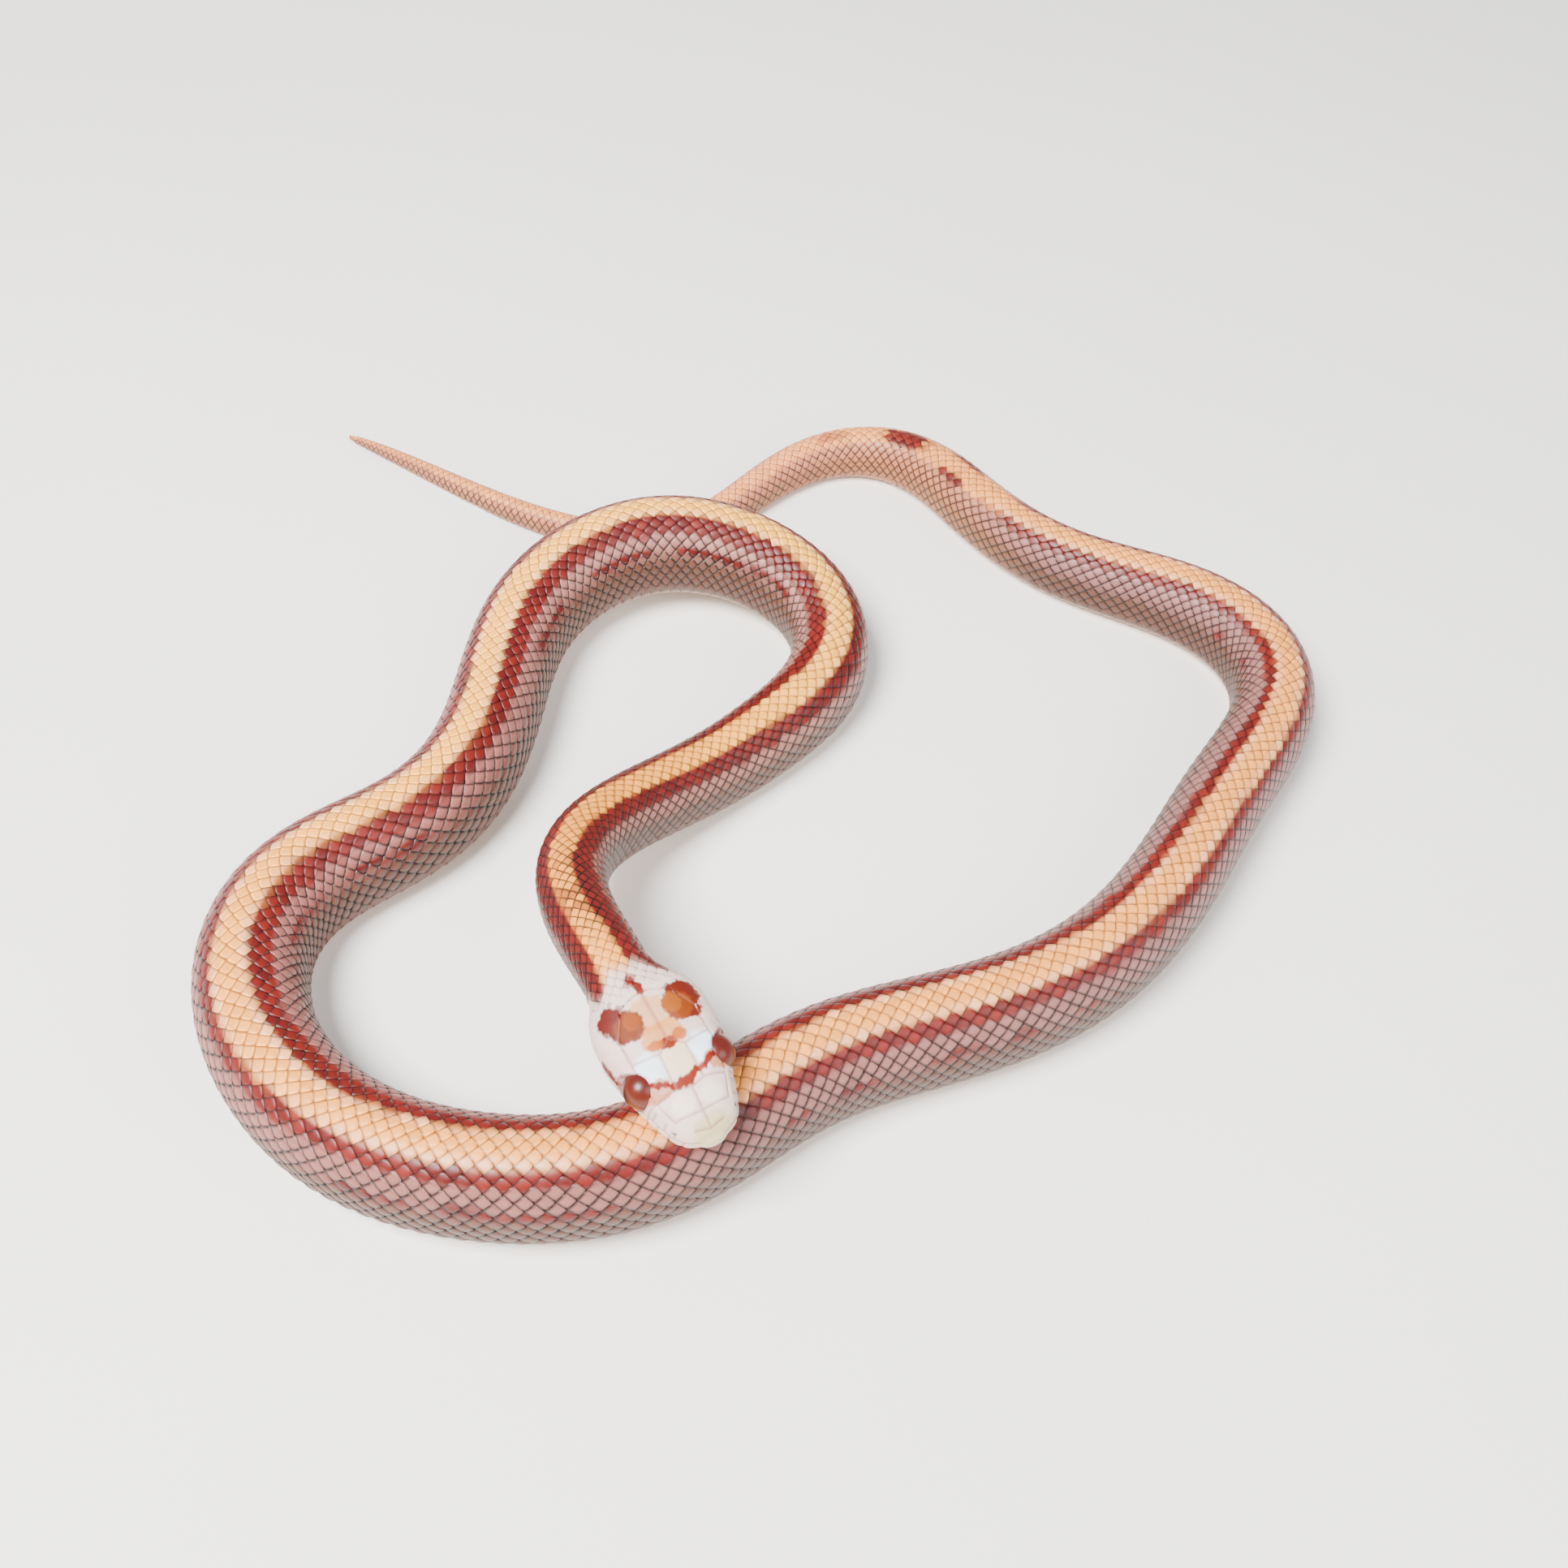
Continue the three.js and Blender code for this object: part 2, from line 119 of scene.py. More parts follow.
def walk():
    """Stations along the animal: distance, centre, left and up directions."""
    s = np.arange(0, BODY_LENGTH + STATION, STATION)
    last = len(BENDS) - 1
    u = np.clip(s / BEND_STEP, 0, last - 1e-9)
    i = u.astype(int)
    t = u - i
    p0, p1, p2, p3 = (BENDS[np.clip(i + j, 0, last)] for j in (-1, 0, 1, 2))
    bend = p1 + 0.5 * t * (
        p2 - p0 + t * (2 * p0 - 5 * p1 + 4 * p2 - p3 + t * (3 * (p1 - p2) + p3 - p0))
    )
    turn = np.radians((bend[1:] + bend[:-1]) / 2 * STATION / BEND_STEP)
    heading = math.radians(START_HEADING) + np.concatenate([[0], np.cumsum(turn)])
    middle = (heading[1:] + heading[:-1]) / 2
    x = START[0] + np.concatenate([[0], np.cumsum(np.cos(middle) * STATION)])
    y = START[1] + np.concatenate([[0], np.cumsum(np.sin(middle) * STATION)])
    half = curve(HALF_WIDTH, s) * HEIGHT_TO_WIDTH
    z = half + (NAPE_HEIGHT - half) * ease(1 - s / NECK_RISE_LENGTH)
    z += LOOP_LIFT * ease(1 - np.abs(s - LOOP_MIDDLE) / LOOP_REACH)
    body = np.stack([x, y, z], 1)
    forward = -np.gradient(body, axis=0)
    forward /= np.linalg.norm(forward, axis=1)[:, None]

    heading, tilt = math.radians(HEAD_HEADING), math.radians(HEAD_TILT)
    ahead = np.array([
        math.cos(heading) * math.cos(tilt),
        math.sin(heading) * math.cos(tilt),
        -math.sin(tilt),
    ])
    reach = np.arange(-(HEAD_LENGTH + 0.6), -STATION / 2, STATION)
    leftward = np.array([-math.sin(heading), math.cos(heading), 0])
    head = body[0] - reach[:, None] * ahead
    head += HEAD_SHIFT * ease(-reach / SHIFT_LENGTH)[:, None] * leftward
    s = np.concatenate([reach, s])
    centre = np.concatenate([head, body])
    forward = np.concatenate([np.repeat(ahead[None], len(reach), 0), forward])
    window = np.exp(-0.5 * (np.arange(-NAPE_SPREAD, NAPE_SPREAD + 1) / NAPE_SOFTNESS) ** 2)
    window /= window.sum()
    for k in range(3):
        column = np.pad(forward[:, k], NAPE_SPREAD, mode="edge")
        forward[:, k] = np.convolve(column, window, mode="valid")
    forward /= np.linalg.norm(forward, axis=1)[:, None]
    left = np.stack([-forward[:, 1], forward[:, 0], np.zeros(len(s))], 1)
    left /= np.linalg.norm(left, axis=1)[:, None]
    return s, centre, left, np.cross(forward, left)


stations, centres, lefts, ups = walk()

# A place on the animal is a distance along it, an angle from the middle of the back (positive on
# its own left) and a height over the surface of the solids.
head_share = 1 - between(-6, 8, stations)
SNOUT_ROUNDING = 0.5
BODY_POWER = 2 / 3
HEAD_TOP_POWER, HEAD_BOTTOM_POWER = 0.82, 0.9


def sizes(body_points, head_points):
    body = curve(body_points, stations)
    head = curve(head_points, -stations)
    return np.where(stations < 0, head, body)


half_widths = sizes(HALF_WIDTH, HEAD_HALF_WIDTH)
tops = sizes([(a, b * HEIGHT_TO_WIDTH) for a, b in HALF_WIDTH], HEAD_TOP)
bottoms = sizes([(a, b * HEIGHT_TO_WIDTH) for a, b in HALF_WIDTH], HEAD_BOTTOM)


def section(s, theta):
    """Offsets across and up from the centre, and the outward direction of the section there."""
    wide, top, bottom, mix = (
        np.interp(s, stations, v) for v in (half_widths, tops, bottoms, head_share)
    )
    end = np.clip((-s - HEAD_LENGTH) / SNOUT_ROUNDING, 0, 1)
    end = np.sqrt(np.clip(1 - end**2, 0, 1))
    wide, top, bottom = wide * end, top * end, bottom * end
    sn, cs = np.sin(theta), np.cos(theta)
    tall = np.where(cs >= 0, top, bottom)
    body_across = wide * np.where(cs >= 0, sn, np.sign(sn) * np.abs(sn) ** BODY_POWER)
    low = np.minimum(BELLY_FLAT * np.abs(cs) ** BODY_POWER, 1)
    body_rise = tall * np.where(cs >= 0, cs, -low)
    power = np.where(cs > 0, HEAD_TOP_POWER, HEAD_BOTTOM_POWER)
    head_across = wide * np.sign(sn) * np.abs(sn) ** power
    head_rise = tall * np.sign(cs) * np.abs(cs) ** power
    across = body_across * (1 - mix) + head_across * mix
    rise = body_rise * (1 - mix) + head_rise * mix
    nx = across / np.maximum(wide, 0.2) ** 2
    ny = rise / np.maximum(tall, 0.2) ** 2
    flat = (1 - mix) * between(-0.93, -0.98, cs)
    nx = nx * (1 - flat)
    size = np.sqrt(nx**2 + ny**2) + 1e-9
    return across, rise, nx / size, ny / size


def place(s, theta, lift):
    """Points in metres at a height over the solids, and their offsets from the centre."""
    across, rise, nx, ny = section(s, theta)
    across = across + nx * lift
    rise = rise + ny * lift
    point = [
        np.interp(s, stations, centres[:, k])
        + np.interp(s, stations, lefts[:, k]) * across
        + np.interp(s, stations, ups[:, k]) * rise
        for k in range(3)
    ]
    return np.stack(point, -1) * MILLIMETRE, across, rise


# distance round the section, from the back to the belly, against the angle
ANGLES = np.linspace(0, math.pi, 121)
across_all, rise_all, _, _ = section(
    np.repeat(stations[:, None], len(ANGLES), 1), np.repeat(ANGLES[None], len(stations), 0)
)
strides = np.hypot(np.diff(across_all, axis=1), np.diff(rise_all, axis=1))
girths = np.concatenate([np.zeros((len(stations), 1)), np.cumsum(strides, 1)], 1)


def angle_at(s, around):
    """The angle at a distance round the section, signed."""
    row = np.clip(np.rint((s - stations[0]) / STATION).astype(int), 0, len(stations) - 1)
    flat_row, flat_around = row.ravel(), np.abs(around).ravel()
    out = np.empty(len(flat_row))
    order = np.argsort(flat_row, kind="stable")
    starts = np.flatnonzero(np.diff(flat_row[order], prepend=-1))
    for a, b in zip(starts, list(starts[1:]) + [len(order)]):
        pick = order[a:b]
        out[pick] = np.interp(flat_around[pick], girths[flat_row[order[a]]], ANGLES)
    return np.sign(around) * out.reshape(np.shape(around))


# the scales reach from the back to this angle, and the belly plates lie below it
EDGE_ANGLE = math.radians(112)
edge_girth = np.array([np.interp(EDGE_ANGLE, ANGLES, row) for row in girths])


# Colours come from the place on the animal alone, so the skin and every scale over it agree.
def shade(code):
    """Linear colour of a hex code."""
    v = np.array([int(code[i : i + 2], 16) for i in (0, 2, 4)]) / 255
    return np.where(v <= 0.04045, v / 12.92, ((v + 0.055) / 1.055) ** 2.4)


def along_colours(table, s):
    """Linear colours at s, from (distance, hex code) pairs."""
    x = [a for a, _ in table]
    c = np.array([shade(b) for _, b in table])
    return np.stack([np.interp(s, x, c[:, k]) for k in range(3)], -1)


def sway(x, seed):
    """A smooth waver of about -1 to 1."""
    slow, quick = np.sin(x * 0.83 + 2.3 * seed), np.sin(x * 2.1 + 4.1 * seed)
    return (np.sin(x * 0.31 + seed) + 0.6 * slow + 0.4 * quick) / 2


# colours along the middle of the back, in the stripes, on the flanks and low on the flanks, where the
# darker brown is partly the flank's own colour and partly painted shade
BACK = [
    (0, "E8943A"), (15, "E68E30"), (90, "FCB040"), (180, "FAA83E"), (220, "EC963C"), (440, "EC9644"),
    (500, "E49054"),
]
RED = [(0, "620E05"), (456, "6A160C")]
CRIMSON = [(0, "650E0D"), (456, "6B140F")]
FLANK = [
    (0, "A06050"), (90, "A8746A"), (180, "985A52"), (360, "90605A"), (440, "966460"), (480, "A6645A"),
]
LOW_FLANK_AND_SHADE = [(0, "68402D"), (180, "5E3222"), (440, "5E3624"), (480, "704030")]
# how far the pattern is turned towards the animal's own left, in degrees
TURNED = [
    (0, -12), (14, -14), (22, -4), (40, 4), (55, 5), (72, 13), (90, 11), (110, 4), (130, 4), (146, 10),
    (165, 4), (200, 2), (220, 9), (240, 4), (252, 1), (290, 3), (320, 0), (335, 2), (356, 8), (380, 15),
    (395, 11), (412, 0), (440, -3), (585, 0),
]
# edges of the red stripes, in degrees from the middle of the pattern
INNER = [(0, 21), (30, 21), (68, 20), (150, 19.5), (330, 20), (456, 22), (585, 22)]
OUTER_LEFT = [
    (0, 60), (20, 52), (40, 44), (85, 45), (120, 39), (145, 34), (240, 33), (335, 35), (380, 32), (456, 34),
]
OUTER_RIGHT = [
    (0, 62), (20, 56), (40, 46), (85, 44), (130, 41), (180, 41), (240, 39), (320, 36), (400, 33), (456, 35),
]
OUTER_SPREAD = 4.5
STRIPES_END = 450
FRINGE_COLOUR = "E2B49C"
# the broken line along each flank: where it lies round the body, and where each dash starts and ends
LINE_ANGLE = 66
DASHES = [
    (89, 99), (100.5, 113), (118, 130), (139, 150), (182, 193), (199, 211), (244, 252), (256, 273),
    (293, 297), (301, 307), (315, 322), (325, 328), (334, 336), (400, 402), (410, 412),
]
# blotches on the tail: distance, degrees from the middle, half length, half width, strength
BLOTCHES = [(464, 30, 3.5, 11, 1.0), (476, 12, 4.6, 17, 1.0), (489, 8, 3.0, 10, 0.5)]


def body_paint(s, theta, chance):
    """Colour of the body at a place and how red it is; chance is the scale's own random number."""
    round_back = np.degrees(theta) - curve(TURNED, s)
    a, side = np.abs(round_back), np.sign(round_back)
    own = (chance - 0.5) * 2
    back = along_colours(BACK, s)
    # low on the flanks the colour turns darker brown: partly its own colour, partly painted shade
    low = between(57, 86, a + 4 * own)
    flank = along_colours(FLANK, s) * (1 - low)[..., None] + along_colours(LOW_FLANK_AND_SHADE, s) * low[..., None]
    outer = np.where(side > 0, curve(OUTER_LEFT, s), curve(OUTER_RIGHT, s))
    inner = curve(INNER, s) + 1.2 * sway(s, 1.0 + side) + 1.0 * own
    outer = outer + OUTER_SPREAD + 1.8 * sway(s, 3.0 + side) + 2.0 * own
    striped = 1 - between(STRIPES_END, STRIPES_END + 8, s + 2 * own)
    off_back = between(-1.8, 1.8, a - inner)
    off_red = between(-2.0, 2.0, a - outer)
    off_middle = between(-2.0, 2.0, a - (inner + outer) / 2)
    fade = between(440, 470, s)
    side_colour = flank * (1 - 0.35 * fade)[..., None] + back * (0.35 * fade)[..., None]
    colour = back * (1 - off_middle)[..., None] + side_colour * off_middle[..., None]
    # pale pinkish fringe along the inner edge of each stripe
    fringe = 0.45 * striped * between(50, 90, s) * np.exp(-(((a - inner + 4) / 3.2) ** 2))
    fringe = fringe[..., None]
    colour = colour * (1 - fringe) + shade(FRINGE_COLOUR) * fringe
    red = off_back * (1 - off_red) * striped
    line = np.zeros_like(s)
    for start, end in DASHES:
        dash = between(start - 1.5, start + 1, s) * (1 - between(end - 1, end + 1.5, s))
        line = np.maximum(line, dash)
    thick = 4.8 + 1.8 * sway(s * 1.7, 5.0)
    off_line = np.abs(a - LINE_ANGLE - 3 * sway(s, 7.0)) + 1.2 * own
    red = np.maximum(red, line * (1 - between(thick - 1.8, thick + 1.8, off_line)))
    # speckles in the net behind the nape
    net = between(3, 7, s) * (1 - between(12, 19, s)) * (1 - off_back) * between(0.5, 0.6, chance)
    red = np.maximum(red, 0.6 * net)
    for at, angle, long, wide, depth in BLOTCHES:
        d = np.hypot((s - at) / long, (a - angle) / wide) + 0.12 * sway(s * 3 + a, 2.0)
        red = np.maximum(red, depth * (1 - between(0.75, 1.15, d)))
    warm = 0.5 + 0.5 * sway(s * 0.6, 9.0 + side) + 0.35 * own
    warm = np.clip(warm, 0, 1)[..., None]
    red_colour = along_colours(RED, s) * warm + along_colours(CRIMSON, s) * (1 - warm)
    red_colour = red_colour * (1 + 0.3 * own)[..., None]
    colour = colour * (1 + 0.1 * own)[..., None]
    return colour * (1 - red)[..., None] + red_colour * red[..., None], red


def joint_and_shade_depth(s, theta, red):
    """How dark the joints and edges of the scales are painted, partly their own colour and partly painted
    shade: most on the flanks, and in the net at the neck, which is pattern.
    """
    a = np.degrees(np.abs(theta))
    depth = 0.84 + 0.33 * between(34, 52, a) - 0.15 * red
    net = between(2, 6, s) * (1 - between(14, 22, s)) * (1 - between(18, 30, a))
    return depth + 0.7 * net


# Head plates: seams seen from above (along, out) and from the side (along, up)
TOP_SEAMS = [
    ((22.8, 0), (22.4, 1.8)), ((22.8, 0), (18.2, 0)), ((20.9, 0), (20.6, 3.4)),
    ((18.2, 0), (17.7, 1.75)), ((17.7, 1.75), (18.0, 4.4)), ((17.7, 1.75), (13.4, 1.6)),
    ((13.4, 1.6), (12.2, 0)), ((12.2, 0), (5.4, 0)), ((13.4, 1.6), (12.9, 4.8)),
    ((12.9, 4.8), (9.4, 4.9)), ((9.4, 4.9), (6.2, 3.0)), ((6.2, 3.0), (5.4, 0.9)),
    ((5.4, 0.9), (5.4, 0)), ((20.6, 3.4), (18.0, 4.4)), ((18.0, 4.4), (12.9, 4.8)),
]
MOUTH_CORNER = 7.5
MOUTH_LINE = [(6, -1.9), (9, -1.7), (12, -1.15), (16, -1.05), (20, -0.95), (25, -0.7)]
LIP_SEAMS = (8.6, 10.8, 12.9, 14.6, 16.2, 17.7, 19.2, 20.8, 22.3)
LIP_HEIGHT = 1.35
SIDE_SEAMS = [
    ((20.1, 0.4), (20.1, 2.4)), ((18.5, 0.3), (18.5, 2.6)), ((21.4, 0.2), (21.4, 1.6)),
    ((13.1, 0.2), (12.6, 2.9)), ((13.0, 1.6), (11.6, 1.5)), ((17.8, 0.3), (17.8, 2.6)),
]
EYE_AT, EYE_OUT, EYE_UP, EYE_RADIUS = 15.0, 4.65, 1.6, 2.3
NOSTRIL = (21.2, 1.0)


def seam_distance(seams, p, q):
    """How far (p, q) is from the nearest seam."""
    best = np.full(np.shape(p), 9.0)
    for (a, b), (c, d) in seams:
        t = np.clip(((p - a) * (c - a) + (q - b) * (d - b)) / ((c - a) ** 2 + (d - b) ** 2), 0, 1)
        best = np.minimum(best, np.hypot(p - a - t * (c - a), q - b - t * (d - b)))
    return best


def head_form(x, y, z, theta):
    """Raised or sunk height of the head's surface, and how deep in a seam it lies."""
    out = np.abs(y)
    up = 1 - between(48, 62, np.degrees(np.abs(theta)))
    over = z - curve(MOUTH_LINE, x)
    open_line = between(MOUTH_CORNER - 0.4, MOUTH_CORNER + 0.6, x)
    groove = open_line * np.exp(-((over / 0.13) ** 2))
    form = -0.30 * groove
    form = form + 0.10 * open_line * np.exp(-(((np.abs(over) - 0.5) / 0.35) ** 2))
    eye = np.hypot(x - EYE_AT, z - EYE_UP) + 9 * (out < 2.5)
    form = form - 0.55 * np.exp(-((eye / 2.05) ** 6))
    form = form + 0.14 * np.exp(-(((eye - 2.4) / 0.25) ** 2))
    brow = np.exp(-(((x - EYE_AT) / 2.3) ** 2)) * np.exp(-(((z - 3.6) / 0.7) ** 2))
    form = form + 0.30 * brow * (out > 2.2)
    hollow = np.exp(-(((x - 18.9) / 1.5) ** 2) - ((z - 1.2) / 1.0) ** 2) * (out > 2)
    form = form - 0.22 * hollow
    nostril = np.hypot(x - NOSTRIL[0], z - NOSTRIL[1]) + 9 * (out < 1.2)
    form = form - 0.35 * np.exp(-((nostril / 0.27) ** 2))
    top = seam_distance(TOP_SEAMS, x, out) + 3 * (1 - up)
    side = seam_distance(SIDE_SEAMS, x, z) + 3 * up + 3 * (eye < 2.2)
    lips = np.abs(over - LIP_HEIGHT) + 3 * (over < 0) + 3 * (eye < 2.2)
    for at in LIP_SEAMS:
        lean = at + 0.15 * over
        lips = np.minimum(lips, np.abs(x - lean) + 3 * (over < 0.1) + 3 * (over > LIP_HEIGHT))
        low = np.abs(x - at + 0.8) + 3 * (over > -0.1) + 3 * (over < -LIP_HEIGHT)
        lips = np.minimum(lips, low)
    lips = np.minimum(lips, np.abs(over + LIP_HEIGHT) + 3 * (over > 0))
    lips = lips + 3 * up + 3 * (x < MOUTH_CORNER - 1)
    seam = np.minimum(np.minimum(top, side), lips)
    behind = between(4.2, 5.6, x)
    cut = np.exp(-((seam / 0.12) ** 2)) * behind
    form = form - 0.11 * cut + 0.06 * (1 - np.exp(-seam / 0.5)) * behind
    fade = between(0, 4, x)
    return form * fade, cut, groove, np.exp(-((nostril / 0.22) ** 2))


# The head's colours, from the nape forwards, and its marks and pale plates, with a painted reflection of
# the sky on the two plates over the eyes, each with its place along and to the left, half length, half
# width, colour and strength
HEAD_BASE = [(0, "D3B09A"), (5, "DDC3BA"), (12, "DBC0BA"), (19, "DFC8C2"), (23, "DCC2AC")]
ROSY, EYE_PATCH, EYE_RIM, SEAM_AND_SHADE = "C48E88", "6A1A16", "6E2414", "8E5446"
BAND_AT, BAND_COLOUR = 17.3, "7A1A04"
HEAD_MARKS = [
    (8.4, -0.3, 2.7, 2.0, "D99A62", 0.8), (11.2, -0.2, 1.6, 2.7, "D6883C", 0.85),
    (6.6, -4.5, 1.9, 1.5, "5A1208", 1.0), (8.8, -3.9, 1.9, 1.5, "5E1604", 1.0),
    (8.7, -3.15, 2.1, 1.7, "6E2A00", 0.97), (8.3, -2.7, 1.2, 0.9, "883C00", 0.8),
    (7.4, 4.1, 2.3, 1.8, "621804", 1.0), (9.5, 4.0, 1.8, 1.6, "661C06", 1.0),
    (8.8, 3.1, 2.3, 1.6, "7C3400", 0.97), (8.2, 2.6, 1.4, 1.1, "98500C", 0.7),
    (3.5, -0.4, 0.85, 0.55, "6A1406", 1.0), (4.9, 0.0, 1.1, 0.6, "6A1406", 1.0),
    (12.6, -0.15, 0.8, 1.15, "7A2002", 1.0), (12.3, -1.5, 0.6, 1.0, "B4580E", 0.9),
    (12.1, 1.5, 0.75, 0.9, "AA4E0C", 0.85),
    (16.9, -3.6, 1.1, 1.7, "C06C38", 0.75), (16.2, 4.1, 1.3, 1.5, "C0682E", 0.85),
]
PLATE_COLOURS_AND_SHEEN = [
    # the bluish white on the plates over the eyes is a painted reflection of the sky
    (15.1, 0.0, 2.9, 1.75, "EDD2AC", 0.9), (14.8, 3.5, 2.3, 1.8, "E4F2FF", 1.0),
    (14.8, -3.5, 2.3, 1.8, "E4F2FF", 1.0), (23.0, 0.4, 1.7, 2.3, "C2B27A", 0.7),
    (19.6, 1.7, 1.3, 1.5, "F0E0CC", 0.8), (19.6, -1.7, 1.3, 1.5, "F0E0CC", 0.8),
]


def head_paint(x, y, z, theta, cut, groove, nostril):
    """Colour of the head: mottled, with its marks, the band before the eyes, seams darkened partly in their
    own colour and partly with painted shade, and painted shade in the mouth line and nostrils.
    """
    base = along_colours(HEAD_BASE, x)
    rosy = 0.22 * np.clip(sway(x * 2.6 + y, 4.0) * sway(y * 3.1 - x, 8.0) + 0.2, 0, 1)[..., None]
    base = base * (1 - rosy) + shade(ROSY) * rosy
    up = 1 - between(66, 82, np.degrees(np.abs(theta)))
    ragged = 0.16 * sway(x * 4, 1.0) + 0.16 * sway(y * 5, 2.0)
    # pale plates, and the painted reflection on the plates over the eyes
    for at, out, long, wide, code, depth in PLATE_COLOURS_AND_SHEEN:
        d = np.hypot((x - at) / long, (y - out) / wide) + 0.7 * ragged
        m = (depth * up * (1 - between(0.7, 1.2, d)))[..., None]
        base = base * (1 - m) + shade(code) * m
    for at, out, long, wide, code, depth in HEAD_MARKS:
        d = np.hypot((x - at) / long, (y - out) / wide) + ragged
        m = (depth * up * (1 - between(0.88, 1.06, d)))[..., None]
        base = base * (1 - m) + shade(code) * m
    bow = BAND_AT - np.where(y > -0.4, 0.095, 0.085) * (y + 0.4) ** 2 + 0.35 * sway(y * 4, 3.0)
    thick = 0.34 + 0.34 * np.exp(-(((y + 0.6) / 1.2) ** 2)) + 0.12 * sway(y * 3, 6.0)
    off_band = np.abs(x - bow) - thick + 0.14 * sway(y * 9 + x * 5, 1.5)
    band = (up * (1 - between(-0.12, 0.14, off_band)) * (np.abs(y) < 6.2))[..., None]
    base = base * (1 - band) + shade(BAND_COLOUR) * band
    # dark patch behind each eye
    patch = np.hypot((x - 11.2) / 1.7, (z - 0.9) / 0.8) + ragged
    patch = ((1 - up) * (1 - between(0.85, 1.1, patch)))[..., None]
    base = base * (1 - patch) + shade(EYE_PATCH) * patch
    # a dark red rim of small plates round each eye
    ring = np.hypot(x - EYE_AT, z - EYE_UP) + 9 * (np.abs(y) < 2.5)
    ring = (0.8 * (1 - between(2.15, 2.6, ring + 0.5 * ragged)))[..., None]
    base = base * (1 - ring) + shade(EYE_RIM) * ring
    # the seams between the plates are darkened partly in their own colour and partly with painted shade;
    # the mouth line is darkened with painted shade
    seam = np.clip(0.6 * cut + 0.8 * groove, 0, 1)[..., None]
    base = base * (1 - seam) + shade(SEAM_AND_SHADE) * seam
    # the nostrils are darkened with painted shade
    return base * (1 - 0.8 * nostril[..., None])


def skin_paint(s, theta, x, y, z, cut, groove, nostril, chance):
    """Colour anywhere, how red it is, and how much of it is the head's."""
    body, red = body_paint(np.maximum(s, 0), theta, chance)
    head = head_paint(x, y, z, theta, cut, groove, nostril)
    # the red stripes run a little further on to the head than the back's own colour
    a = np.degrees(np.abs(theta))
    start = 1.5 + 2.2 * np.exp(-(((a - 47) / 15) ** 2)) + 0.5 * sway(a * 0.25, 3.0)
    m = between(-0.7, 0.9, x - start)
    return body * (1 - m)[..., None] + head * m[..., None], red * (1 - m), m


def new_mesh(name, points, faces, colours, attributes, uv=None):
    """A mesh object with a point colour, its attributes and, where given, a UV map."""
    mesh = bpy.data.meshes.new(name)
    mesh.vertices.add(len(points))
    mesh.vertices.foreach_set("co", np.asarray(points, np.float32).ravel())
    faces = np.asarray(faces, np.int32)
    count, corners = faces.shape
    mesh.loops.add(count * corners)
    mesh.loops.foreach_set("vertex_index", faces.ravel())
    mesh.polygons.add(count)
    mesh.polygons.foreach_set("loop_start", np.arange(0, count * corners, corners, dtype=np.int32))
    mesh.polygons.foreach_set("loop_total", np.full(count, corners, dtype=np.int32))
    mesh.polygons.foreach_set("use_smooth", np.ones(count, dtype=bool))
    mesh.update(calc_edges=True)
    mesh.validate()
    paint = mesh.color_attributes.new("paint", "FLOAT_COLOR", "POINT")
    rgba = np.ones((len(points), 4), np.float32)
    rgba[:, :3] = np.clip(colours, 0, 1)
    paint.data.foreach_set("color", rgba.ravel())
    for key, values in attributes.items():
        layer = mesh.attributes.new(key, "FLOAT", "POINT")
        layer.data.foreach_set("value", np.asarray(values, np.float32).ravel())
    if uv is not None:
        layer = mesh.uv_layers.new(name="OFBake")
        layer.data.foreach_set("uv", np.asarray(uv, np.float32)[faces.ravel()].ravel())
    made = bpy.data.objects.new(name, mesh)
    bpy.context.scene.collection.objects.link(made)
    return made


# The rings are close together on the head, where they are 240 points round, and one in four of those
# points goes on round the body.
COAT_DEPTH = 0.16
SNOUT = HEAD_LENGTH + SNOUT_ROUNDING
HEAD_RINGS, RING_STEP = 170, 0.85
HEAD_ROUND, BODY_SHARE = 240, 4
head_rings = -SNOUT + SNOUT * (np.linspace(0, 1, HEAD_RINGS) ** 1.12)
body_rings = np.append(np.arange(0.8, BODY_LENGTH, RING_STEP), BODY_LENGTH)
head_angles = np.linspace(-math.pi, math.pi, HEAD_ROUND, endpoint=False)
body_angles = head_angles[::BODY_SHARE]


def skin_points(s, theta):
    """Points and colours of the skin, darkened where it shows between the scales, partly in its own colour
    and partly with painted shade.
    """
    _, across, rise = place(s, theta, 0)
    x = -s
    form, cut, groove, nostril = head_form(x, across, rise, theta)
    on_head = between(2.5, 4.5, x)
    lift = form - COAT_DEPTH * (1 - on_head)
    points, across, rise = place(s, theta, lift)
    chance = np.full(s.shape, 0.5)
    colour, _, _ = skin_paint(s, theta, x, across, rise, cut * on_head, groove, nostril, chance)
    bare_tip = between(BODY_LENGTH - 3, BODY_LENGTH - 1, s)
    # the skin under the scales is darkened, partly its own colour and partly painted shade between the
    # scales; the head keeps its full colour and the bare tail tip is lighter
    joint_and_shade_darkening = np.where(on_head > 0.5, 1.0, 0.4 + 0.5 * bare_tip)
    return points.reshape(-1, 3), (colour * joint_and_shade_darkening[..., None]).reshape(-1, 3)


head_points, head_colours = skin_points(*np.meshgrid(head_rings, head_angles, indexing="ij"))
tube_points, tube_colours = skin_points(*np.meshgrid(body_rings, body_angles, indexing="ij"))
points = np.concatenate([head_points, tube_points])
colours = np.concatenate([head_colours, tube_colours])
n_head, n_body = len(head_angles), len(body_angles)


def grid_faces(rows, columns, first):
    """Triangles between rings of points that follow one another from the point called first."""
    r, c = np.meshgrid(np.arange(rows - 1), np.arange(columns), indexing="ij")
    a = first + r * columns + c
    b = first + r * columns + (c + 1) % columns
    return np.concatenate([
        np.stack([a, b, b + columns], -1).reshape(-1, 3),
        np.stack([a, b + columns, a + columns], -1).reshape(-1, 3),
    ])


first_tube = len(head_rings) * n_head
triangles = [grid_faces(len(head_rings), n_head, 0), grid_faces(len(body_rings), n_body, first_tube)]
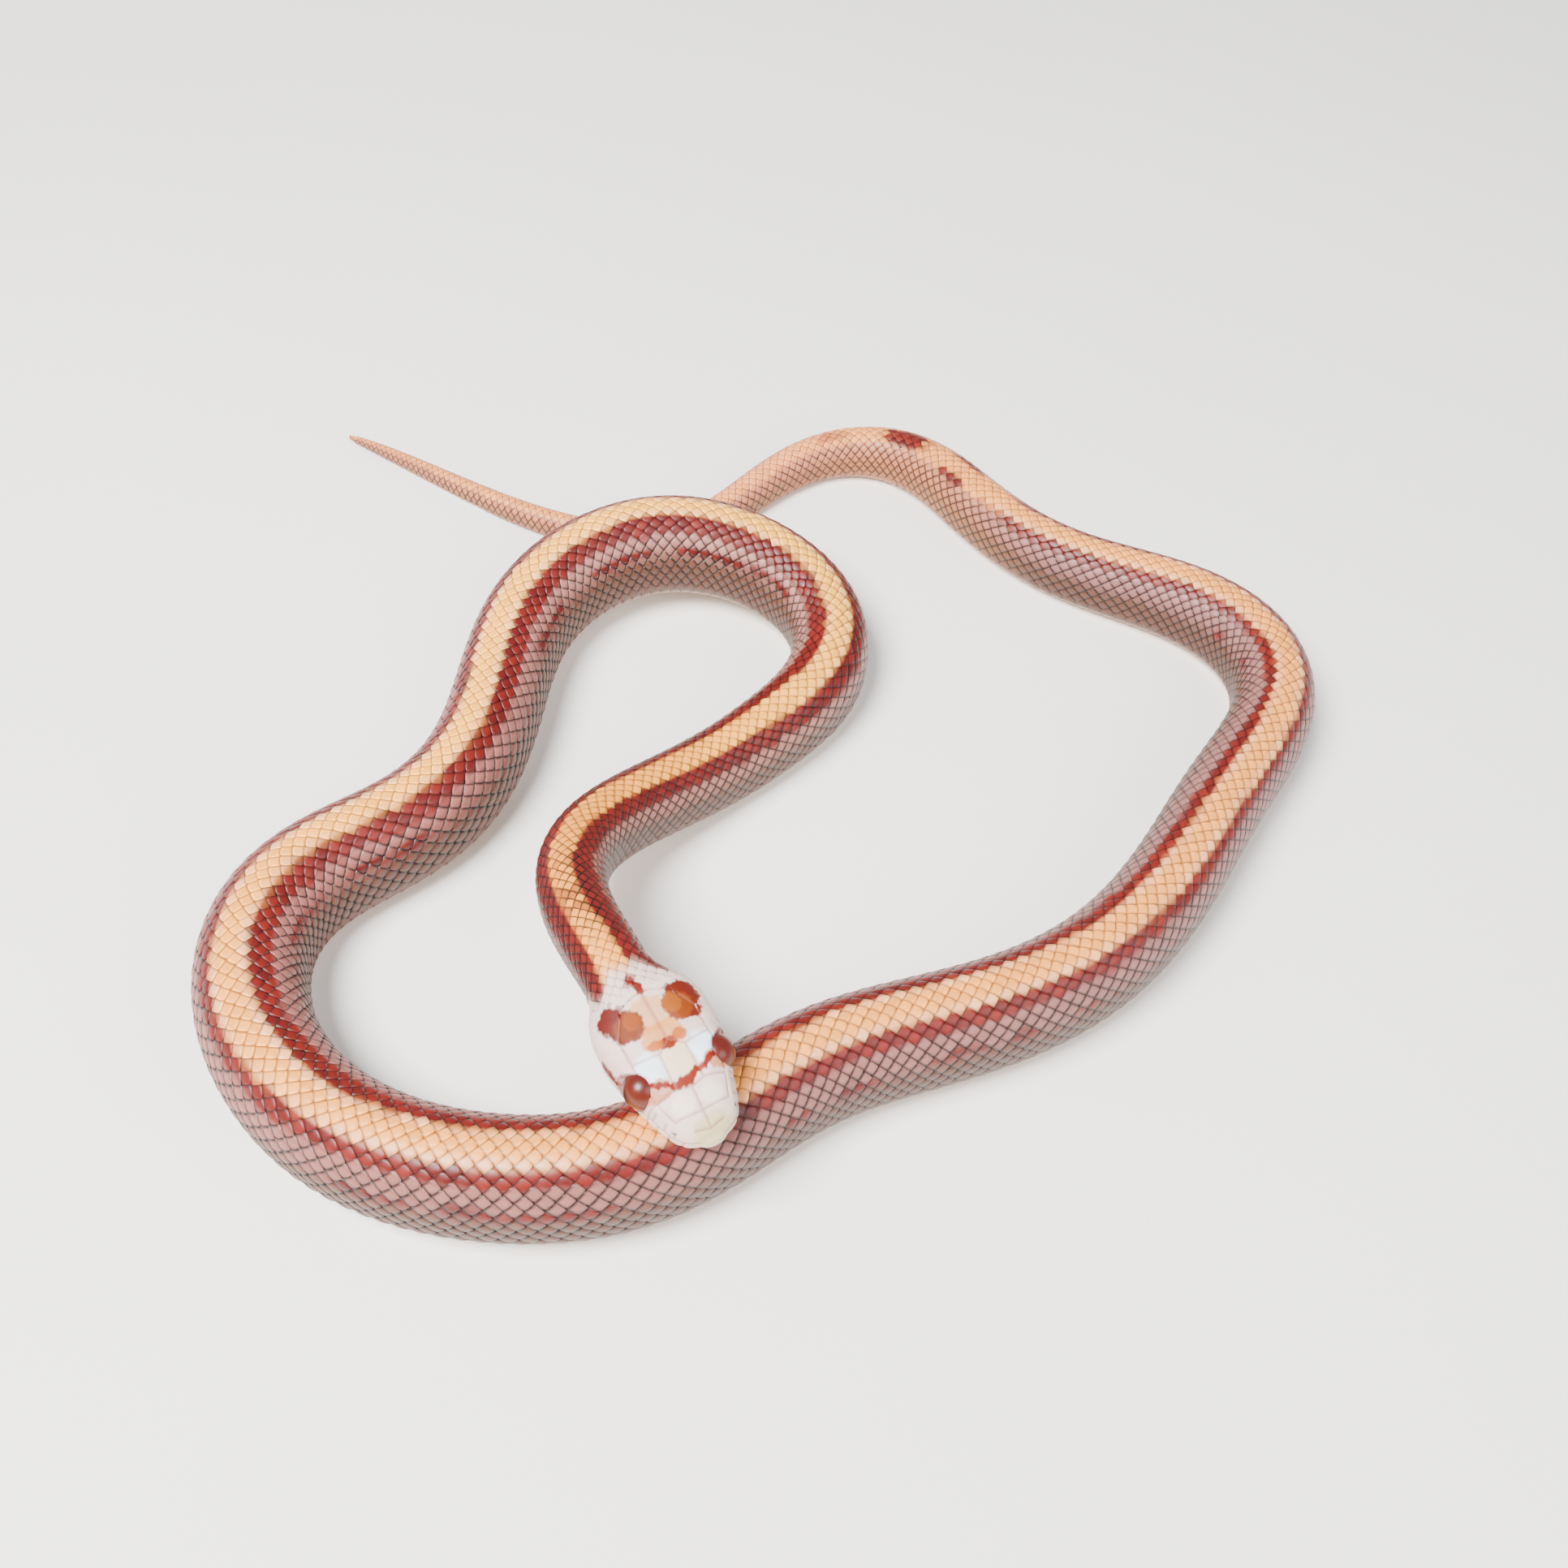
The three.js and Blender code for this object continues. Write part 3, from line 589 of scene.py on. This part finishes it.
# the last ring of the head meets the first ring of the body, four points to one
last_head = first_tube - n_head
join = []
for i in range(n_body):
    j = (i + 1) % n_body
    for k in range(BODY_SHARE):
        a = last_head + (i * BODY_SHARE + k) % n_head
        b = last_head + (i * BODY_SHARE + k + 1) % n_head
        join.append((a, b, first_tube + (i if k < BODY_SHARE // 2 else j)))
    middle = last_head + i * BODY_SHARE + BODY_SHARE // 2
    join.append((middle, first_tube + j, first_tube + i))
triangles.append(np.array(join))
for first, count, flip in ((0, n_head, True), (len(points) - n_body, n_body, False)):
    ring = np.arange(first, first + count)
    tip = len(points)
    points = np.vstack([points, points[ring].mean(0)])
    colours = np.vstack([colours, colours[ring].mean(0)])
    pair = np.stack([ring, np.roll(ring, -1)], 1)
    if flip:
        pair = pair[:, ::-1]
    triangles.append(np.column_stack([pair, np.full(count, tip)]))
skin = new_mesh("skin", points, np.concatenate(triangles), colours, {})
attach(skin, "root")
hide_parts(*[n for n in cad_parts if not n.startswith("eye")])


# The skin's finish is painted by its point colours, which hold painted shade between the scales and in the
# head's seams, mouth line and nostrils, with a fine grain. Shader sums are written as expressions on
# sockets.
class Socket:
    def __init__(self, tree, out):
        self.tree, self.out = tree, out

    def _maths(self, operation, *others):
        node = self.tree.nodes.new("ShaderNodeMath")
        node.operation = operation
        for i, value in enumerate((self, *others)):
            if isinstance(value, Socket):
                self.tree.links.new(value.out, node.inputs[i])
            else:
                node.inputs[i].default_value = value
        return Socket(self.tree, node.outputs[0])

    def __add__(self, other):
        return self._maths("ADD", other)

    def __sub__(self, other):
        return self._maths("SUBTRACT", other)

    def __mul__(self, other):
        return self._maths("MULTIPLY", other)

    def __rsub__(self, other):
        return self * -1.0 + other

    __radd__ = __add__
    __rmul__ = __mul__

    def __truediv__(self, other):
        return self._maths("DIVIDE", other)

    def clamped(self):
        return (self * 1.0)._maths("MAXIMUM", 0.0)._maths("MINIMUM", 1.0)

    def smooth(self, low, high):
        return ((self - low) / (high - low)).clamped()


class Shader:
    """A material and its nodes."""

    def __init__(self, name, **constants):
        self.material = bpy.data.materials.new(name)
        self.material.use_nodes = True
        self.tree = self.material.node_tree
        self.surface = self.tree.nodes["Principled BSDF"]
        for key, value in constants.items():
            self.surface.inputs[key.replace("_", " ")].default_value = value

    def node(self, kind, output, settings=None, **sockets):
        made = self.tree.nodes.new(kind)
        for key, value in (settings or {}).items():
            setattr(made, key, value)
        for key, value in sockets.items():
            target = made.inputs[key.replace("_", " ")]
            if isinstance(value, Socket):
                self.tree.links.new(value.out, target)
            else:
                target.default_value = value
        return Socket(self.tree, made.outputs[output])

    def attribute(self, name, output="Fac"):
        return self.node("ShaderNodeAttribute", output, {"attribute_name": name})

    def place(self):
        return self.node("ShaderNodeTexCoord", "Object")

    def noise(self, scale, detail=3.0):
        return self.node("ShaderNodeTexNoise", "Fac", None, Vector=self.place(), Scale=scale, Detail=detail)

    def tone(self, colour, value):
        """A colour made lighter or darker by a number near 1."""
        node = self.tree.nodes.new("ShaderNodeVectorMath")
        node.operation = "SCALE"
        self.tree.links.new(colour.out, node.inputs[0])
        self.tree.links.new(value.out, node.inputs["Scale"])
        return Socket(self.tree, node.outputs[0])

    def blend(self, factor, a, b):
        node = self.tree.nodes.new("ShaderNodeMix")
        node.data_type = "RGBA"
        node.clamp_factor = True
        for value, key in ((factor, 0), (a, 6), (b, 7)):
            if isinstance(value, Socket):
                self.tree.links.new(value.out, node.inputs[key])
            else:
                node.inputs[key].default_value = value
        return Socket(self.tree, node.outputs[2])

    def to(self, name, value):
        self.tree.links.new(value.out, self.surface.inputs[name])

    def bump(self, height, strength, distance):
        made = self.node(
            "ShaderNodeBump", "Normal", None, Height=height, Strength=strength, Distance=distance
        )
        self.to("Normal", made)


def rgba(code):
    return (*[float(c) for c in shade(code)], 1.0)


skin_look = Shader("snake skin", Roughness=0.5, Specular_IOR_Level=0.28)
grain = skin_look.noise(900.0)
skin_look.to("Base Color", skin_look.tone(skin_look.attribute("paint", "Color"), grain * 0.24 + 0.88))
skin_look.to("Roughness", grain * 0.2 + 0.42)
skin_look.bump(skin_look.noise(2600.0), 0.12, 0.0001)
skin.data.materials.append(skin_look.material)

# Scales
# Horny, overlapping, pointed scales from the back of the head to the tail tip, each a thin domed shell.
# The rows run along the body with every second row half a scale behind, and drop out at the belly as
# the body narrows.
FIRST_SCALE, LAST_SCALE = -14.0, BODY_LENGTH - 2.2
ROWS = [
    (-14, 25), (0, 25), (40, 25), (120, 27), (400, 27), (440, 24), (482, 19), (510, 13), (540, 9), (585, 6),
]
PITCH = [
    (-14, 1.3), (0, 1.45), (40, 1.85), (120, 2.13), (400, 2.08), (480, 1.8), (500, 1.6), (585, 1.1),
]
WIDER_LOW = 0.12
# size of a scale in pitches and in rows, and the points along and across it
SCALE_LENGTH = 1.5
SCALE_SPREAD = 1.05
ALONG, ACROSS = 6, 4
WIDEST = 1 - 0.5 / SCALE_LENGTH
SHELL = 0.10
# how far a scale's front lies below the solids and how much it rises to its free end
SCALE_FRONT, SCALE_RISE = -0.21, 0.26
BACK_DOME, FLANK_DOME = 0.12, 0.21
# scales are thinner on the neck and the tail
THINNER = ([-14, 0, 60, 150, 480, 585], [0.5, 0.6, 0.85, 1, 0.75, 0.4])
# a scale's patch on the unwrap of the skin, at the place of its root
PATCH = 0.0030
COAT_PIECES = 5
rng = np.random.default_rng(7)

places = [FIRST_SCALE]
while places[-1] < LAST_SCALE:
    places.append(places[-1] + float(curve(PITCH, np.array([places[-1]]))[0]))
rows_s, rows_j = [], []
for i, s0 in enumerate(places[:-1]):
    step = places[i + 1] - s0
    half_rows = int(curve(ROWS, np.array([s0]))[0] / 2 + 1.2)
    for j in range(-half_rows, half_rows + 1):
        rows_s.append(s0 + (0.5 * step if j % 2 else 0))
        rows_j.append(j)
rows_s, rows_j = np.array(rows_s), np.array(rows_j)


def row_around(s, j):
    """Distance round the section of row j at s."""
    edge = np.interp(s, stations, edge_girth)
    t = j / (curve(ROWS, s) / 2)
    return edge * t * (1 + WIDER_LOW * t * t) / (1 + WIDER_LOW)


around = row_around(rows_s, rows_j)
edge = np.interp(rows_s, stations, edge_girth)
keep = np.abs(around) < edge * 1.02
x_here = -rows_s
theta_here = angle_at(rows_s, around)
_, y_here, z_here = place(rows_s, theta_here, 0)
# small scales cover the temples, outside the crown plates and above the lips
crown = np.interp(x_here, [5.2, 6.2, 9.4, 12.9, 14], [0.9, 3.2, 5.1, 5.0, 4.6])
over_lips = z_here - curve(MOUTH_LINE, x_here) > LIP_HEIGHT + 0.4
temple = (np.abs(y_here) > crown + 0.3) & (over_lips | (x_here < MOUTH_CORNER - 1.5)) & (x_here < 12.2)
keep &= (x_here < 4.9) | temple
rows_s, rows_j = rows_s[keep], rows_j[keep]
order = np.argsort(rows_s, kind="stable")
rows_s, rows_j = rows_s[order], rows_j[order]
chances = rng.random(len(rows_s))
turns = rng.normal(0, 0.012, len(rows_s))

# one scale: u runs from its root to its free end, closer where it shows, and v from side to side
u_steps = [0, 0.3, 0.43, 0.57, 0.71, 0.86, 1]
u_grid, v_grid = np.meshgrid(u_steps, np.linspace(-1, 1, ACROSS + 1), indexing="ij")
outline = np.where(
    u_grid < WIDEST,
    0.72 + 0.28 * ease(u_grid / WIDEST),
    np.maximum(1 - np.clip((u_grid - WIDEST) / (1 - WIDEST), 0, 1) ** 1.35, 0.07),
)
dome = (1 - v_grid**2) * np.sin(math.pi * np.clip((u_grid - 0.3) / 0.72, 0, 1)) ** 0.8
slope = SCALE_FRONT + SCALE_RISE * u_grid


def shell_faces(rows, columns):
    """The rim of a grid of points, and triangles over the grid and down to a lower copy of its rim."""
    index = np.arange(rows * columns).reshape(rows, columns)
    rim = np.concatenate([index[0], index[1:, -1], index[-1, -2::-1], index[-2:0:-1, 0]])
    faces = []
    for i in range(rows - 1):
        for j in range(columns - 1):
            a, b, c, d = index[i, j], index[i, j + 1], index[i + 1, j + 1], index[i + 1, j]
            faces += [(a, b, c), (a, c, d)]
    for k in range(len(rim)):
        a, b = rim[k], rim[(k + 1) % len(rim)]
        c, d = index.size + (k + 1) % len(rim), index.size + k
        faces += [(b, a, d), (b, d, c)]
    return rim, np.array(faces)


def repeated(faces, count):
    """The triangles of one shell for each of count shells."""
    return (faces[None] + (np.arange(count) * (faces.max() + 1))[:, None, None]).reshape(-1, 3)


def with_rim(values, rim):
    """The values of a shell's grid, then those of its rim again."""
    flat = values.reshape(values.shape[0] * values.shape[1], -1)
    return np.concatenate([flat, flat[rim]])


def unwrapped(s):
    """Place along the unwrap of the skin."""
    return (s - stations[0]) / (BODY_LENGTH - stations[0]) * 0.99 + 0.003


rim, shell = shell_faces(ALONG + 1, ACROSS + 1)


def scales(name, pick):
    """One mesh of the scales whose numbers are in pick."""
    s0, j0, chance = rows_s[pick], rows_j[pick], chances[pick]
    pitch = curve(PITCH, s0)
    u = u_grid.ravel()[None]
    v = (v_grid * outline).ravel()[None]
    length = (SCALE_LENGTH * pitch)[:, None]
    s = s0[:, None] + (u - WIDEST) * length
    j = j0[:, None] + v * SCALE_SPREAD + turns[pick][:, None] * (u - 0.5) * 8
    s = np.minimum(s, BODY_LENGTH - 0.05)
    around = row_around(s, j)
    theta = angle_at(s, around)
    thin = np.interp(s0, *THINNER)[:, None]
    degrees = np.degrees(np.abs(theta))
    puffed = BACK_DOME + (FLANK_DOME - BACK_DOME) * between(35, 60, degrees)
    lift = (slope.ravel()[None] + puffed * dome.ravel()[None]) * thin
    lift = np.where(degrees > 140, np.minimum(lift, 0), lift)
    upper, _, _ = place(s, theta, lift)
    lower, _, _ = place(s[:, rim], theta[:, rim], lift[:, rim] - SHELL * thin)
    points = np.concatenate([upper, lower], 1)
    # each scale is mostly one colour, with a little of the pattern that crosses it
    centre_theta = angle_at(s0, row_around(s0, j0))[:, None]
    zero = np.zeros(s.shape)
    colour, red, bare = 0, 0, 0
    for share, at, angle in ((0.55, s0[:, None] + zero, centre_theta + zero), (0.45, s, theta)):
        _, y, z = place(at, angle, 0)
        c, r, m = skin_paint(at, angle, -at, y, z, zero, zero, zero, chance[:, None] + zero)
        colour = colour + share * c
        red = red + share * r
        bare = bare + share * m
    # how dark each scale's joints and edges are painted: partly their colour, partly painted shade
    joint_and_shade = joint_and_shade_depth(s, theta, red) * (1 - 0.75 * bare)
    # where the free rim gets its paler colour and a painted highlight, and the sides get no painted shade
    pale = (1 - red) * (1 - bare) * (1 - 0.8 * between(30, 45, degrees))
    # the rim under each scale is painted at a third of its colour: painted shade under its edge
    colours_with_shaded_rim = np.concatenate([colour, colour[:, rim] * 0.3], 1)
    patch = with_rim(np.stack([u_grid, v_grid], -1), rim)
    root_v = centre_theta / (2 * math.pi) * 0.98 + 0.5
    uv = np.stack([
        unwrapped(s0)[:, None] + PATCH * (patch[None, :, 0] - 0.5),
        root_v + PATCH / 2 * patch[None, :, 1],
    ], -1)
    attributes = {
        "along": np.tile(with_rim((u_grid - WIDEST) * SCALE_LENGTH, rim), (len(s0), 1)),
        "across": np.tile(with_rim(np.abs(v_grid * outline * SCALE_SPREAD), rim), (len(s0), 1)),
        "edge": np.tile(with_rim(np.abs(v_grid), rim), (len(s0), 1)),
        "chance": np.repeat(chance, points.shape[1]),
        "joint_and_shade": np.concatenate([joint_and_shade, joint_and_shade[:, rim]], 1),
        "pale": np.concatenate([pale, pale[:, rim]], 1),
    }
    faces = repeated(shell, len(s0))
    made = new_mesh(
        name, points.reshape(-1, 3), faces, colours_with_shaded_rim.reshape(-1, 3), attributes, uv.reshape(-1, 2)
    )
    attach(made, "root")
    return made


coat = []
for k, pick in enumerate(np.array_split(np.arange(len(rows_s)), COAT_PIECES)):
    coat.append(scales("scales_%d" % (k + 1), pick))

# the front of each scale, just behind the ones that overlap it, is darkened, partly in its joint colour and
# partly with painted shade; its sides get painted shade, and its free rim is paler, partly in its own
# colour and partly with a painted highlight
scale_look = Shader(
    "snake scales", Roughness=0.42, Specular_IOR_Level=0.35, Coat_Weight=0.06, Coat_Roughness=0.25
)
grain = scale_look.noise(1400.0)
along, across, edge, joint_and_shade, pale = (
    scale_look.attribute(name) for name in ("along", "across", "edge", "joint_and_shade", "pale")
)
front = along * 2.0 + 1.0 - across
# the front of each scale is darkened, partly in joint colour and partly with painted shade
joint_and_shade_darkening = (1.0 - front.smooth(0.13, 0.56)) * joint_and_shade
# the free rim is lightened, partly in its own paler colour and partly with a painted highlight
rim_pale_and_highlight = edge.smooth(0.45, 0.95) * along.smooth(-0.25, 0.1) * pale
# painted shade towards the sides of each scale
painted_edge_shade = 1.0 - edge * edge * joint_and_shade * (1.0 - pale) * 0.55
shown = (grain * 0.22 + 0.89) * (1.0 - joint_and_shade_darkening.clamped() * 0.9) * (1.0 + rim_pale_and_highlight * 0.6) * painted_edge_shade
scale_look.to("Base Color", scale_look.tone(scale_look.attribute("paint", "Color"), shown))
scale_look.to("Roughness", grain * 0.22 + 0.30 + scale_look.attribute("chance") * 0.08)
scale_look.bump(scale_look.noise(3200.0), 0.10, 0.00008)
for piece in coat:
    piece.data.materials.append(scale_look.material)

# Belly plates
# Wide horny plates cross the belly from flank to flank, one for each step of the scales, each tucked
# under the one before it and flat where it touches the floor. Those under the tail are paired.
PLATE_ALONG, PLATE_ACROSS = 3, 26
VENT = 482
PLATE_OVERLAP = 0.28
TUCKED_UNDER = math.radians(7)
# share of the belly left open between the paired plates
PAIR_GAP = 0.01
BELLY_COLOURS = [(0, "E0C4AC"), (300, "DCBBA4"), (480, "DCAE98"), (585, "D49C84")]
plate_s, plate_side = [], []
for s0 in places[:-1]:
    if s0 < -1:
        continue
    if s0 < VENT:
        plate_s.append(s0)
        plate_side.append(0)
    else:
        plate_s += [s0, s0]
        plate_side += [-1, 1]
plate_s, plate_side = np.array(plate_s), np.array(plate_side)
u_grid, v_grid = np.meshgrid(
    np.linspace(0, 1, PLATE_ALONG + 1), np.linspace(0, 1, PLATE_ACROSS + 1), indexing="ij"
)
rim, shell = shell_faces(PLATE_ALONG + 1, PLATE_ACROSS + 1)
u = u_grid.ravel()[None]
v = v_grid.ravel()[None]
low_edge = EDGE_ANGLE - TUCKED_UNDER
belly_full = 2 * math.pi - 2 * low_edge
half = belly_full * (1 - PAIR_GAP) / 2
side = plate_side[:, None]
wide = np.where(side == 0, belly_full, half)
theta = low_edge + np.where(side < 0, belly_full - half, 0) + v * wide
ends_up = np.clip(np.abs(np.degrees(theta) - 180) - 40, 0, 40) / 40
shift = (1 + PLATE_OVERLAP) * (u - 0.5) + 0.25 * ends_up * (u - 0.8)
s = np.minimum(plate_s[:, None] + shift * curve(PITCH, plate_s)[:, None], BODY_LENGTH - 0.05)
lift = -0.13 + 0.125 * u + ends_up * (0.02 + 0.08 * u)
upper, _, _ = place(s, theta, lift)
lower, _, _ = place(s[:, rim], theta[:, rim], lift[:, rim] - SHELL)
points = np.concatenate([upper, lower], 1)
plate_chance = rng.random(len(plate_s))
wrapped = (theta + math.pi) % (2 * math.pi) - math.pi
tint = np.repeat(plate_chance[:, None], theta.shape[1], 1)
colour, _ = body_paint(np.maximum(s, 0), wrapped, tint)
pale = between(118, 140, np.degrees(np.abs(wrapped)))[..., None]
colour = colour * (1 - pale) + along_colours(BELLY_COLOURS, s) * pale
colour = colour * (1 - 0.10 * (u > 0.9)[..., None])
# the rim under each plate is painted at half its colour: painted shade under its edge
colours = np.concatenate([colour, colour[:, rim] * 0.5], 1).reshape(-1, 3)
root_v = np.where(plate_side == 0, 0.004, np.where(plate_side > 0, 0.993, 0.007))
patch = with_rim(np.stack([u_grid, v_grid], -1), rim)
uv = np.stack([
    unwrapped(plate_s)[:, None] + PATCH * (patch[None, :, 0] - 0.5),
    root_v[:, None] + PATCH * (patch[None, :, 1] - 0.5),
], -1).reshape(-1, 2)
attributes = {name: np.zeros(points.shape[:2]) for name in ("along", "across", "edge", "joint_and_shade", "pale")}
attributes["chance"] = np.repeat(plate_chance, points.shape[1])
faces = repeated(shell, len(plate_s))[:, ::-1]
belly = new_mesh("belly_plates", points.reshape(-1, 3), faces, colours, attributes, uv)
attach(belly, "root")
belly.data.materials.append(scale_look.material)

# Eyes
# Round glossy eyes with no lids, sunk in the sides of the head: a dark red pupil in a brown-orange iris,
# and an upper half darkened with painted shade.
heading, tilt = math.radians(HEAD_HEADING), math.radians(HEAD_TILT)
nape = centres[int(round(-stations[0] / STATION))]
head_matrix = Matrix.Translation(nape * MILLIMETRE) @ Matrix.Rotation(heading, 4, "Z")
head_matrix = head_matrix @ Matrix.Rotation(tilt, 4, "Y")
head_matrix = head_matrix @ Matrix.Translation((0, HEAD_SHIFT * MILLIMETRE, 0))
eye_radius = EYE_RADIUS * MILLIMETRE
eyes = []
for name, side in (("eye_left", 1), ("eye_right", -1)):
    bpy.ops.object.select_all(action="DESELECT")
    bpy.ops.mesh.primitive_uv_sphere_add(segments=64, ring_count=32, radius=eye_radius)
    eye = bpy.context.active_object
    eye.name = name + "_glass"
    bpy.ops.object.shade_smooth()
    at = Matrix.Translation(np.array([EYE_AT, side * EYE_OUT, EYE_UP]) * MILLIMETRE)
    turn = Matrix.Rotation(math.radians(-90 * side), 4, "X")
    iris = eye.data.attributes.new("iris", "FLOAT", "POINT")
    height = eye.data.attributes.new("height", "FLOAT", "POINT")
    for v in eye.data.vertices:
        iris.data[v.index].value = math.degrees(math.acos(max(-1, min(1, v.co.z / v.co.length))))
    eye.data.transform(head_matrix @ at @ turn)
    for v in eye.data.vertices:
        height.data[v.index].value = (v.co.z - (nape[2] + EYE_UP) * MILLIMETRE) / eye_radius
    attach(eye, "root")
    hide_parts(name)
    eyes.append(eye)

eye_look = Shader(
    "snake eye", Roughness=0.3, Specular_IOR_Level=0.35, Coat_Weight=0.08, Coat_Roughness=0.15
)
angle = eye_look.attribute("iris")
rings = eye_look.noise(1500.0)
iris_colour = eye_look.blend(rings, rgba("541804"), rgba("6A2606"))
inner = eye_look.blend(angle.smooth(24.0, 36.0), rgba("400C08"), iris_colour)
# the upper half of the eye is darkened with painted shade
shadow = eye_look.attribute("height").smooth(0.0, 0.75)
eye_look.to("Base Color", eye_look.blend(shadow * 0.8, inner, rgba("4A0E12")))
eye_look.to("Roughness", rings * 0.06 + 0.3)
for eye in eyes:
    eye.data.materials.append(eye_look.material)

# Floor and lights
# A pale matt floor under the animal, two soft round lamps, and an even sky.
bpy.ops.object.select_all(action="DESELECT")
bpy.ops.mesh.primitive_plane_add(size=6.0, location=(0, 0, -0.0002))
floor = bpy.context.active_object
floor.name = "floor"
floor_look = Shader("pale floor", Roughness=0.7)
speck = floor_look.noise(18.0)
floor_look.to("Base Color", floor_look.blend(speck, rgba("F2F0EC"), rgba("F6F5F2")))
floor.data.materials.append(floor_look.material)

world = bpy.data.worlds.new("soft sky")
bpy.context.scene.world = world
world.use_nodes = True
sky = world.node_tree.nodes["Background"]
sky.inputs["Color"].default_value = (0.95, 0.97, 1.0, 1.0)
sky.inputs["Strength"].default_value = 0.6


def lamp(name, stands_at, size, power, colour):
    """A round lamp that shines at the middle of the coils."""
    data = bpy.data.lights.new(name, "AREA")
    data.shape = "DISK"
    data.size = size
    data.energy = power
    data.color = colour
    made = bpy.data.objects.new(name, data)
    bpy.context.scene.collection.objects.link(made)
    z = np.array(stands_at) / np.linalg.norm(stands_at)
    x = np.cross([0, 0, 1.0], z)
    x /= np.linalg.norm(x)
    y = np.cross(z, x)
    made.matrix_world = Matrix([
        (x[0], y[0], z[0], stands_at[0]),
        (x[1], y[1], z[1], stands_at[1]),
        (x[2], y[2], z[2], stands_at[2]),
        (0, 0, 0, 1),
    ])


lamp("key", (-0.24, -0.20, 0.58), 0.32, 15.0, (1.0, 0.98, 0.95))
lamp("fill", (0.45, -0.35, 0.45), 0.5, 3.5, (0.95, 0.97, 1.0))

# Camera
# It stands close by on the near side and looks down at the coils, as in the photo.
CAMERA_HEIGHT = 185.0
CAMERA_PITCH = math.radians(52.633)
CAMERA_ROLL = math.radians(1.496)
SENSOR_WIDTH = 36.0
FOCAL_TO_WIDTH = 1967.5 / 1932
camera_data = bpy.data.cameras.new("camera")
camera_data.sensor_width = SENSOR_WIDTH
camera_data.lens = SENSOR_WIDTH * FOCAL_TO_WIDTH
camera_data.clip_start = 0.01
camera = bpy.data.objects.new("camera", camera_data)
bpy.context.scene.collection.objects.link(camera)
ahead = np.array([0, math.cos(CAMERA_PITCH), -math.sin(CAMERA_PITCH)])
level_down = np.array([0, -math.sin(CAMERA_PITCH), -math.cos(CAMERA_PITCH)])
level_right = np.array([1.0, 0, 0])
right = math.cos(CAMERA_ROLL) * level_right - math.sin(CAMERA_ROLL) * level_down
down = math.sin(CAMERA_ROLL) * level_right + math.cos(CAMERA_ROLL) * level_down
camera_at = np.array([-CENTRE[0], -CENTRE[1], CAMERA_HEIGHT]) * MILLIMETRE
camera.matrix_world = Matrix([
    (right[0], -down[0], -ahead[0], camera_at[0]),
    (right[1], -down[1], -ahead[1], camera_at[1]),
    (right[2], -down[2], -ahead[2], camera_at[2]),
    (0, 0, 0, 1),
])
bpy.context.scene.camera = camera
